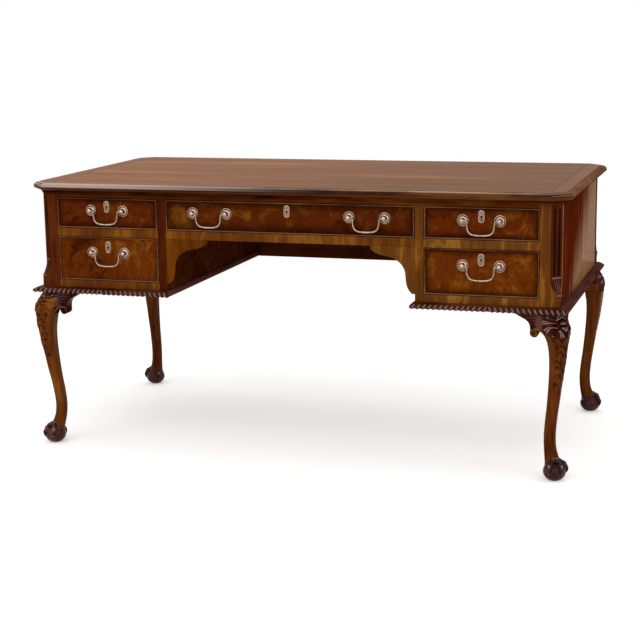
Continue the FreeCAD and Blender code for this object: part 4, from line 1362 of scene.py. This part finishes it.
    def wire(self, loop: Sequence[Flat], thick: float) -> np.ndarray:
        """Rings of a closed round wire on the lock plate's face.

        Args:
            loop: Its middle line about the keyhole's bow.
            thick: The wire's radius.

        Returns:
            Array of ring, corner and coordinate.
        """
        depth = self.face - self.plate_thick
        path = np.array([(self.middle + x, depth, self.key_level + z) for x, z in loop])
        ahead = np.roll(path, -1, axis=0) - np.roll(path, 1, axis=0)
        ahead /= np.linalg.norm(ahead, axis=1)[:, None]
        side = np.cross(ahead, (0, 1, 0))
        turn = full_turn(8)[None, :, None]
        aside = side[:, None, :] * (thick * np.cos(turn))
        return path[:, None, :] + aside + np.array([0, 1, 0]) * (thick * np.sin(turn))

    def posts(self) -> None:
        """Turned rosettes with ball heads, shanks and nuts, for every pull."""
        out, radius, wear = np.array(self.rosette).T
        nut_in, nut_radius = np.array(self.nut).T * MM
        draft = Draft()
        for middle in self.pulls.values():
            for side in (-1, 1):
                x = middle + side * self.half_pull
                head = lathe(zip(out * MM, radius * MM), (x, self.face, self.pull_level))
                draft.rings(head, carve=wear[:, None])
                draft.rings(lathe(zip(-nut_in, nut_radius), (x, self.back, self.pull_level), 6))
        self.finish(draft, "_rosettes", "brass", Finishes.BRASS, self.name + "_handle_posts")

    def bail(self, bail: str, middle: float) -> None:
        """The swan-necked drop handle of one pull.

        Args:
            bail: The bail's body and CAD node.
            middle: Its middle along X.
        """
        steps = 97
        points = [(-x, z) for x, z in self.neck] + [(0.0, self.neck_low)] + list(reversed(self.neck))
        x, z = smooth_curve(points, steps).T * MM
        path = np.stack([middle + x, np.full(steps, self.face - self.pivot), self.pull_level + z], axis=1)
        radii = np.interp(np.abs(np.linspace(-1, 1, steps)), *self.neck_size) * MM
        rings = tube(path, radii)
        draft = Draft()
        # Brighter on the bail's front and darker behind it: partly polish wear, partly painted shade.
        draft.rings(rings, carve=0.28 + 0.34 * (path[:, None, 1] - rings[:, :, 1]) / radii[:, None])
        seat(draft.build(bail + "_swan_neck", (Finishes.BRASS,)), bail, "brass", bail)


@dataclass
class CabrioleLeg(CaseCorner):
    """A carved cabriole leg with a claw-and-ball foot, drawn at the front right corner.

    Attributes:
        rows: Height share, inset in mm, width in mm and squareness of the sections, from the top down.
        front_toe: Distance out, height and radius in mm along a front toe.
        rear_toe: The same along the rear toe.
        face_turn: From the outward diagonal to the middle of the carving on either face, in degrees.
        inner_turn: From the outward diagonal to the leg's inner faces, in degrees.
        vine_turn: How far round the shin the husks' measure across goes, in degrees.
        husks: How many husks hang down the shin.
    """

    foot_inset: float = 9.5 * MM
    ball_reach: float = 31.0 * MM
    ball_rise: float = 27.0 * MM
    ball_level: float = 25.0 * MM
    rows: tuple[tuple[float, float, float, float], ...] = (
        (1.000, 26.6, 55.0, 5.0), (0.960, 18.3, 61.0, 5.0), (0.915, 10.0, 63.0, 5.0),
        (0.875, 6.1, 59.0, 5.2), (0.820, 4.4, 51.0, 5.6), (0.745, 4.6, 44.2, 5.6),
        (0.665, 6.9, 39.4, 5.4), (0.585, 10.5, 35.8, 4.8), (0.500, 14.4, 33.8, 4.0),
        (0.420, 18.8, 32.2, 3.2), (0.335, 23.4, 32.0, 2.7), (0.255, 25.8, 32.2, 2.4),
        (0.190, 24.4, 33.2, 2.3), (0.145, 20.4, 37.0, 2.2), (0.110, 15.2, 43.6, 2.1),
        (0.080, 11.4, 50.0, 2.1),
    )
    front_toe: tuple[Point, ...] = (
        (-2.0, 57.0, 7.0), (9.0, 53.5, 8.6), (17.5, 49.5, 7.2), (24.0, 45.0, 8.4), (28.5, 39.5, 6.4),
        (30.6, 33.5, 7.2), (31.6, 27.5, 5.4), (31.4, 22.5, 3.0), (30.8, 19.5, 1.2),
    )
    rear_toe: tuple[Point, ...] = (
        (4.0, 56.0, 7.4), (13.0, 52.0, 8.4), (20.0, 46.0, 8.4), (25.0, 39.5, 7.2), (28.4, 32.0, 7.2),
        (29.6, 25.0, 5.2), (29.6, 20.0, 2.8), (29.0, 17.0, 1.2),
    )
    face_turn: float = 36.0
    inner_turn: float = 85.0
    vine_turn: float = 95.0
    knee_radius: float = 33.0 * MM
    rosette_level: float = 429.0 * MM
    leaf_reach: float = 37.0 * MM
    vine_top: float = 402.0 * MM
    vine_drop: float = 146.0 * MM
    husks: float = 7.0
    dark_above: float = 384.0 * MM
    brown_below: float = 438.0 * MM
    foot_below: float = 53.0 * MM

    def leaf(self, around: np.ndarray, level: np.ndarray) -> tuple[np.ndarray, np.ndarray, np.ndarray]:
        """The knee's carving: leaves that fan out from a pierced boss.

        Args:
            around: Angle from the carving's middle, in degrees.
            level: Height above the floor.

        Returns:
            Mask, height in mm and carve shade.
        """
        arc = np.radians(around) * self.knee_radius
        above = level - self.rosette_level
        reach = np.hypot(arc, above) / MM
        bearing = np.abs(np.arctan2(arc, -above))
        edge = self.leaf_reach / MM * (1 + 0.25 * ease(0.9, 1.5, bearing)) + 3.0 * np.cos(9 * bearing)
        mask = (1 - ease(edge - 3.0, edge, reach)) * (1 - ease(70.0, 82.0, around))
        sweep = 4.5 * bearing + 1.5 * np.sin(reach / 22.0)
        lobes = np.abs(np.cos(sweep)) ** 0.6
        fine = np.abs(np.sin(3 * sweep + reach / 9.0)) ** 0.8
        body = ease(10.0, 13.5, reach)
        ring = np.exp(-(((reach - 7.6) / 2.3) ** 2))
        hole = 1 - ease(2.6, 4.6, reach)
        rise = body * (0.5 + 2.4 * lobes + 0.7 * fine * lobes) + 2.6 * ring - 1.4 * hole
        # Carve shades: a painted highlight on the leaves' ridges and round the boss, painted shade in their
        # hollows and in the hole.
        shade = body * (0.06 + 0.58 * lobes + 0.40 * fine) + 0.95 * ring * (1 - body)
        return mask, rise, shade * (1 - hole)

    def vine(self, level: np.ndarray, across: np.ndarray) -> tuple[np.ndarray, np.ndarray, np.ndarray]:
        """The string of husks that hangs down the shin from the knee.

        Args:
            level: Height above the floor.
            across: Distance round the shin from the carving's middle, as a share.

        Returns:
            Mask, height in mm and carve shade.
        """
        along = (self.vine_top - level) / self.vine_drop
        lower = np.clip(along, 0, 1)
        sway = -0.06 + 0.11 * np.sin(2 * math.pi * 2.6 * along)
        beat = np.abs(np.sin(math.pi * self.husks * along))
        width = np.maximum(0.32 * (1 - 0.50 * lower) * (0.60 + 0.40 * beat), 0.02)
        apart = np.abs(across - sway) / width
        span = ease(-0.02, 0.03, along) * (1 - ease(0.94, 1.0, along))
        mask = (1 - ease(1.0, 1.25, apart)) * span
        husk = np.abs(np.sin(math.pi * (self.husks * along - 0.85 * apart))) ** 1.2
        inside = 1 - ease(0.72, 0.98, apart)
        rise = inside * (0.7 + 1.9 * husk) * (1 - 0.3 * lower) - 0.5 * (1 - inside)
        # Carve shades: painted shade round and between the husks, a painted highlight on them.
        return mask, rise, 0.30 + inside * (0.62 * husk - 0.06)

    def relief(self, around: np.ndarray, level: np.ndarray) -> tuple[np.ndarray, np.ndarray, np.ndarray]:
        """Carving on the knee and shin, the same on both outer faces.

        Args:
            around: Angle from the outward diagonal, in degrees.
            level: Height above the floor.

        Returns:
            Height, carve shade from 0 to 1, and the knee's mask.
        """
        aside = np.abs(around) - self.face_turn
        leaf, leaf_rise, leaf_shade = self.leaf(aside, level)
        vine, vine_rise, vine_shade = self.vine(level, aside / self.vine_turn)
        vine = vine * (1 - leaf)
        shade = PLAIN * (1 - leaf - vine) + leaf_shade * leaf + vine_shade * vine
        return (leaf_rise * leaf + vine_rise * vine) * MM, shade, leaf

    def shin(self, draft: Draft) -> None:
        """Add the lofted leg with its carving.

        Args:
            draft: The mesh that it is added to.
        """
        levels, sides = 236, 128
        share, inset, width, square = smooth_curve(self.rows, levels).T[:, :, None]
        turn = full_turn(sides)
        cosine, sine = np.cos(turn), np.sin(turn)
        level = share * self.leg_top * np.ones((1, sides))
        half, power, inset = width * MM / 2, 2.0 / square, inset * MM
        out_x = half * np.sign(cosine) * np.abs(cosine) ** power
        out_y = half * np.sign(sine) * np.abs(sine) ** power
        around = (np.degrees(np.arctan2(out_y, out_x)) + 45.0 + 180.0) % 360.0 - 180.0
        rise, shade, carved = self.relief(around, level)
        length = np.hypot(out_x, out_y)
        grow = (length + rise) / length
        x, y = self.corner_x - inset + out_x * grow, self.corner_y + inset + out_y * grow
        # Inner faces high on the leg take the dark carved finish: painted shade under the case.
        inner = (level > self.dark_above) & (np.abs(around) > self.inner_turn)
        slots = np.where((carved > 0.35) | inner, 1, 0)
        slots[level < self.foot_below] = 2
        draft.rings(np.stack([x, y, level], axis=2), slots[:-1].reshape(-1).tolist() + [0, 0], shade)

    def foot(self, draft: Draft) -> None:
        """Add the ball and the four toes that grip it.

        Args:
            draft: The mesh that they are added to.
        """
        x, y = self.corner_x - self.foot_inset, self.corner_y + self.foot_inset
        lift = np.linspace(-math.pi / 2 + 0.02, math.pi / 2 - 0.02, 29)[:, None]
        turn = full_turn(48)
        reach, level = self.ball_reach * np.cos(lift), self.ball_level + self.ball_rise * np.sin(lift)
        level = np.maximum(level * np.ones_like(turn), 0.0)
        draft.rings(np.stack([x + reach * np.cos(turn), y + reach * np.sin(turn), level], axis=2), 2)
        steps, sides = 40, 16
        # Carve shades along each toe: a painted highlight on the knuckles, painted shade down the flanks.
        knuckle = 0.74 + 0.24 * np.sin(np.linspace(0.4, 5.2 * math.pi, steps))
        flank = np.abs(np.sin(full_turn(sides)))
        shade = np.clip(knuckle[:, None] - 0.24 * flank[None, :], 0.05, 1)
        toes = ((-45, self.front_toe), (18, self.front_toe), (-108, self.front_toe), (135, self.rear_toe))
        for heading, toe in toes:
            out, level, radius = smooth_curve(toe, steps).T * MM
            way = (math.cos(math.radians(heading)), math.sin(math.radians(heading)))
            path = np.stack([x + out * way[0], y + out * way[1], level], axis=1)
            draft.rings(tube(path, radius, sides, up=(-way[1], way[0], 0.0)), 2, shade)

    def build(self) -> None:
        """Make the leg once and mirror it to all four corners."""
        pattern = Draft()
        self.shin(pattern)
        self.foot(pattern)
        levels = np.array([pattern.verts[face[0]][2] for face in pattern.faces])
        slots = np.array(pattern.slots)
        # The left legs keep the plain leg finish on the knee below brown_below; the back right leg takes the
        # dark carved finish all round above dark_above, painted shade under the case.
        browned = np.where((slots == 1) & (levels < self.brown_below), 0, slots).tolist()
        shaded = np.where(levels > self.dark_above, 1, slots).tolist()
        # Finish numbers by corner: the left legs' plain knees and the back right leg's painted shade.
        worn = {Corner.FRONT_LEFT: browned, Corner.BACK_LEFT: browned, Corner.BACK_RIGHT: shaded}
        for corner in Corner:
            draft = Draft()
            draft.stamp(pattern, corner, worn.get(corner))
            node = corner.name.lower() + "_leg"
            piece = draft.build(node + "_carved", (Finishes.LEG, Finishes.CARVED, Finishes.FOOT), smooth=50.0)
            seat(piece, "desk", "walnut_carved", node)


@dataclass
class KneeBrackets(CaseCorner):
    """Scroll-eared brackets on both sides of every knee.

    Attributes:
        scroll: The scroll's middle in mm, towards the kneehole from the post and down from the moulding.
        blades: Start, bend and end of each leaf blade in the same measures, and its radius in mm.
    """

    post: float = 55.5 * MM
    proud: float = 9.0 * MM
    thick: float = 30.0 * MM
    scroll: Flat = (10.8, 53.6)
    scroll_radius: float = 11.2
    scroll_top: float = 38.0 * MM
    dark_to: float = 66.0 * MM
    crest: float = 2.6 * MM
    blades: tuple[tuple[Flat, Flat, Flat, float], ...] = (
        ((-26, 14), (8, 5.5), (60, 2.5), 4.2), ((-26, 23), (4, 13), (45, 10), 4.6),
        ((-26, 32), (0, 21.5), (33, 17.5), 4.6), ((-27, 42), (-4, 30.5), (26, 25.5), 4.6),
        ((-27, 52), (-8, 38.5), (21, 35.5), 4.2),
    )

    def ear(self) -> np.ndarray:
        """The ear's outline, in mm towards the kneehole from the post and down from the moulding.

        Returns:
            Its points, in order round the ear.
        """
        hollow = smooth_curve(((64, 1), (57, 5.6), (48.5, 10.6), (39, 15.6), (32, 19.8), (26.4, 25.4),
                               (23.2, 33), (22, 42), (22, 51)), 33)
        (x, z), size = self.scroll, self.scroll_radius
        turns = np.linspace(math.radians(-8), math.radians(172), 21)
        scroll = [(x + size * math.cos(turn), z + size * math.sin(turn)) for turn in turns]
        arch = smooth_curve(((-0.8, 52.5), (-3.0, 47.5), (-9.5, 49.4), (-17.5, 59.5), (-23.5, 75),
                             (-27.5, 98)), 25)
        return np.vstack([[(64, 0)], hollow, scroll[1:], arch, [(-34, 98), (-34, 0)]])

    def place(self, points: np.ndarray, depth: float = 0.0) -> np.ndarray:
        """Ear coordinates as places on the front right corner's front bracket.

        Args:
            points: Ear coordinates, in mm.
            depth: How far behind the ear's face they lie.

        Returns:
            The places, in metres.
        """
        flat = points * MM
        x = self.corner_x - self.post - flat[:, 0]
        y = np.full(len(flat), self.corner_y - self.proud + depth)
        return np.stack([x, y, self.leg_top - flat[:, 1]], axis=1)

    def scroll_band(self) -> tuple[np.ndarray, np.ndarray]:
        """The raised band that climbs from the shin over the arch and curls into the scroll.

        Returns:
            Its middle line in ear coordinates and its radius along it, in mm.
        """
        steps, spokes = 120, 26
        climb = [(-30.5, 99), (-26.5, 78), (-20, 61), (-12, 50.5), (-3, 44.4), (6, 42.6)]
        x, z = self.scroll
        spiral = zip(np.linspace(-1.9, 7.6, spokes), np.linspace(10.6, 1.8, spokes))
        curl = [(x - reach * math.cos(turn + math.pi), z + reach * math.sin(turn)) for turn, reach in spiral]
        size = np.interp(np.linspace(0, 1, steps), (0, 0.15, 0.5, 0.9, 1), (3.0, 3.4, 2.6, 1.7, 2.2))
        return smooth_curve(climb + curl[2:], steps), size

    def leaves(self) -> list[tuple[np.ndarray, np.ndarray]]:
        """Leaf blades that sweep from the knee along the ear.

        Returns:
            Each blade's middle line in ear coordinates and its radius along it, in mm.
        """
        steps = 30
        taper = np.sin(np.linspace(0.5, math.pi - 0.06, steps)) ** 0.7
        return [(smooth_curve(points, steps), size * taper + 0.3) for *points, size in self.blades]

    def front_ear(self) -> Draft:
        """The front right corner's front bracket, with its leaves and its scroll.

        Returns:
            The bracket's mesh, with its finishes and carve shades.
        """
        draft = Draft()
        outline = self.ear()
        # The ear's plate carries a carve shade a little below plain, a slight painted shade.
        draft.rings(np.stack([self.place(outline), self.place(outline, self.thick)]), carve=0.56)
        low = self.leg_top - self.scroll_top
        highest = [max(draft.verts[corner][2] for corner in face) for face in draft.faces]
        draft.slots = [1 if level < low else 2 for level in highest]
        lines = [(line, size, 0, 0.63) for line, size in self.leaves()] + [(*self.scroll_band(), 1, 0.76)]
        for line, size, slot, gain in lines:
            rings = tube(self.place(line), size * MM, 12, flat=0.75)
            # Carve shades paint a highlight on the crests of the leaves and the scroll band, and shade at
            # their foot.
            crest = np.clip((self.corner_y - self.proud - rings[:, :, 1]) / self.crest, 0, 1)
            draft.rings(rings, slot, 0.20 + gain * crest)
        return draft

    def build(self) -> None:
        """Make one front ear, turn it about the corner for the side, and mirror both to all corners."""
        front = self.front_ear()
        x, y, z = np.array(front.verts).T
        across, along = x - self.corner_x, y - self.corner_y
        side = replace(front, verts=np.stack([self.corner_x - along, self.corner_y - across, z], axis=1))
        high = self.leg_top - self.dark_to
        dark = [0 if slot == 1 and front.verts[face[0]][2] > high else slot
                for slot, face in zip(front.slots, front.faces)]
        whole = Draft()
        for corner in Corner:
            for ear in (front, side):
                whole.stamp(ear, corner, dark if corner.value[0] < 0 else None)
        looks = (Finishes.CARVED, Finishes.LEG, Finishes.DARK)
        piece = whole.build("knee_brackets_carved", looks, smooth=45.0)
        seat(piece, "desk", "walnut_carved", "knee_brackets")


@dataclass
class Studio:
    """The floor, the light and the camera at the photograph's angle."""

    place: Point = (1.303577, -4.216919, 1.233609)
    yaw: float = -0.306
    pitch: float = -0.202
    roll: float = -0.015
    lens: float = 83.88
    sensor: float = 36.0
    view_end: float = 60.0
    floor_half: float = 14.0
    floor_lift: float = 0.34
    floor_white: Flat = (1.1, 2.4)
    room_light: float = 0.50

    def camera(self) -> None:
        """Set the camera."""
        data = bpy.data.cameras.new("photo_angle")
        data.sensor_width = self.sensor
        data.lens = self.lens
        data.clip_end = self.view_end
        eye = placed("photo_angle", data)
        ahead = Vector((math.sin(self.yaw) * math.cos(self.pitch), math.cos(self.yaw) * math.cos(self.pitch),
                        math.sin(self.pitch)))
        right = ahead.cross(Vector((0, 0, 1))).normalized()
        up = right.cross(ahead)
        tilt_right = math.cos(self.roll) * right + math.sin(self.roll) * up
        tilt_up = math.cos(self.roll) * up - math.sin(self.roll) * right
        turn = Matrix((tilt_right, tilt_up, -ahead)).transposed().to_4x4()
        eye.matrix_world = Matrix.Translation(Vector(self.place)) @ turn
        bpy.context.scene.camera = eye

    def softbox(self, name: str, place: Point, target: Point, size: float, power: float) -> None:
        """Hang one area lamp.

        Args:
            name: The lamp's name.
            place: Where it hangs.
            target: What it faces.
            size: Its side in metres.
            power: Its power in watts.
        """
        data = bpy.data.lights.new(name, "AREA")
        data.size = size
        data.energy = power
        lamp = placed(name, data)
        lamp.location = place
        lamp.rotation_euler = (Vector(target) - Vector(place)).to_track_quat("-Z", "Y").to_euler()

    def floor(self) -> None:
        """Lay a pale floor that stays white to the camera and in reflections, apart from the shadow."""
        mesh = bpy.data.meshes.new("floor")
        far = self.floor_half
        mesh.from_pydata([(-far, -far, 0), (far, -far, 0), (far, far, 0), (-far, far, 0)], [], [(0, 1, 2, 3)])
        made = bpy.data.materials.new("pale_floor")
        made.use_nodes = True
        nodes = made.node_tree.nodes
        wire = Wiring(made.node_tree)
        seen = self.seen(wire)
        shader = nodes["Principled BSDF"]
        wire.feed(shader, {
            "Base Color": (0.90, 0.90, 0.90),
            "Roughness": 0.9,
            "Specular IOR Level": 0.0,
            "Emission Color": (1.0, 1.0, 1.0),
            "Emission Strength": wire.calc("MULTIPLY", seen, self.floor_lift),
        })
        reach = wire.node("ShaderNodeVectorMath", {0: wire.place()}, operation="LENGTH").outputs["Value"]
        blend = wire.node("ShaderNodeMixShader", {
            0: wire.calc("MULTIPLY", seen, wire.span(reach, *self.floor_white)),
            1: shader.outputs[0],
            2: wire.node("ShaderNodeEmission", {}).outputs[0],
        })
        wire.feed(nodes["Material Output"], {"Surface": blend.outputs[0]})
        mesh.materials.append(made)
        placed("floor", mesh)

    @staticmethod
    def seen(wire: Wiring) -> bpy.types.NodeSocket:
        """1 for rays that the camera, a reflection or clear glass sends, 0 for the rest.

        Args:
            wire: The wiring of the material or world.

        Returns:
            The socket that puts it out.
        """
        rays = wire.node("ShaderNodeLightPath", {}).outputs
        direct = wire.calc("MAXIMUM", rays["Is Camera Ray"], rays["Is Glossy Ray"])
        return wire.calc("MAXIMUM", direct, rays["Is Transmission Ray"])

    def world(self) -> None:
        """Light the room evenly, white where the camera and reflections see it."""
        room = bpy.data.worlds.new("studio")
        room.use_nodes = True
        wire = Wiring(room.node_tree)
        light = wire.span(self.seen(wire), 0.0, 1.0, self.room_light, 1.0)
        wire.feed(room.node_tree.nodes["Background"], {"Color": (1.0, 1.0, 1.0), "Strength": light})
        bpy.context.scene.world = room

    def build(self) -> None:
        """Set up the whole studio."""
        self.camera()
        self.floor()
        self.world()
        self.softbox("key", (-1.4, -5.2, 4.0), (0, 0, 0.5), 7.0, 205.0)
        self.softbox("fill", (3.9, -3.0, 2.6), (0.4, 0, 0.5), 5.0, 75.0)
        self.softbox("overhead", (0.0, 0.8, 3.8), (0, 0, 0.7), 4.2, 65.0)
        bpy.context.scene.view_settings.view_transform = "Standard"


def main() -> None:
    """Build the desk's sub-assemblies in order."""
    logging.basicConfig(level=logging.INFO, format="%(name)s: %(message)s")
    DeskTop().build()
    Carcase().build()
    CornerStops().build()
    BaseMoulding().build()
    for node in ("left_gadroon_moulding", "right_gadroon_moulding"):
        GadroonRun(node).build()
    side_x = 539.75 * MM
    centre_x = 227.0 * MM
    upper = {"pull_drop": 36.5 * MM, "key_drop": 25.5 * MM}
    lower = {"pull_drop": 45.0 * MM, "key_drop": 29.0 * MM, "veneer": Finishes.LOW_BURR}
    centre_pulls = {"centre_drawer_left_bail": -centre_x, "centre_drawer_right_bail": centre_x}
    drawers = (
        Drawer("left_upper_drawer", {"left_upper_drawer_bail": -side_x}, **upper),
        Drawer("left_lower_drawer", {"left_lower_drawer_bail": -side_x}, **lower, edge_shade=0.50),
        Drawer("centre_drawer", centre_pulls, **upper, field_shade=0.53),
        Drawer("right_upper_drawer", {"right_upper_drawer_bail": side_x}, **upper),
        Drawer("right_lower_drawer", {"right_lower_drawer_bail": side_x}, **lower),
    )
    for drawer in drawers:
        drawer.build()
    CabrioleLeg().build()
    KneeBrackets().build()
    Studio().build()


if __name__ == "__main__":
    main()
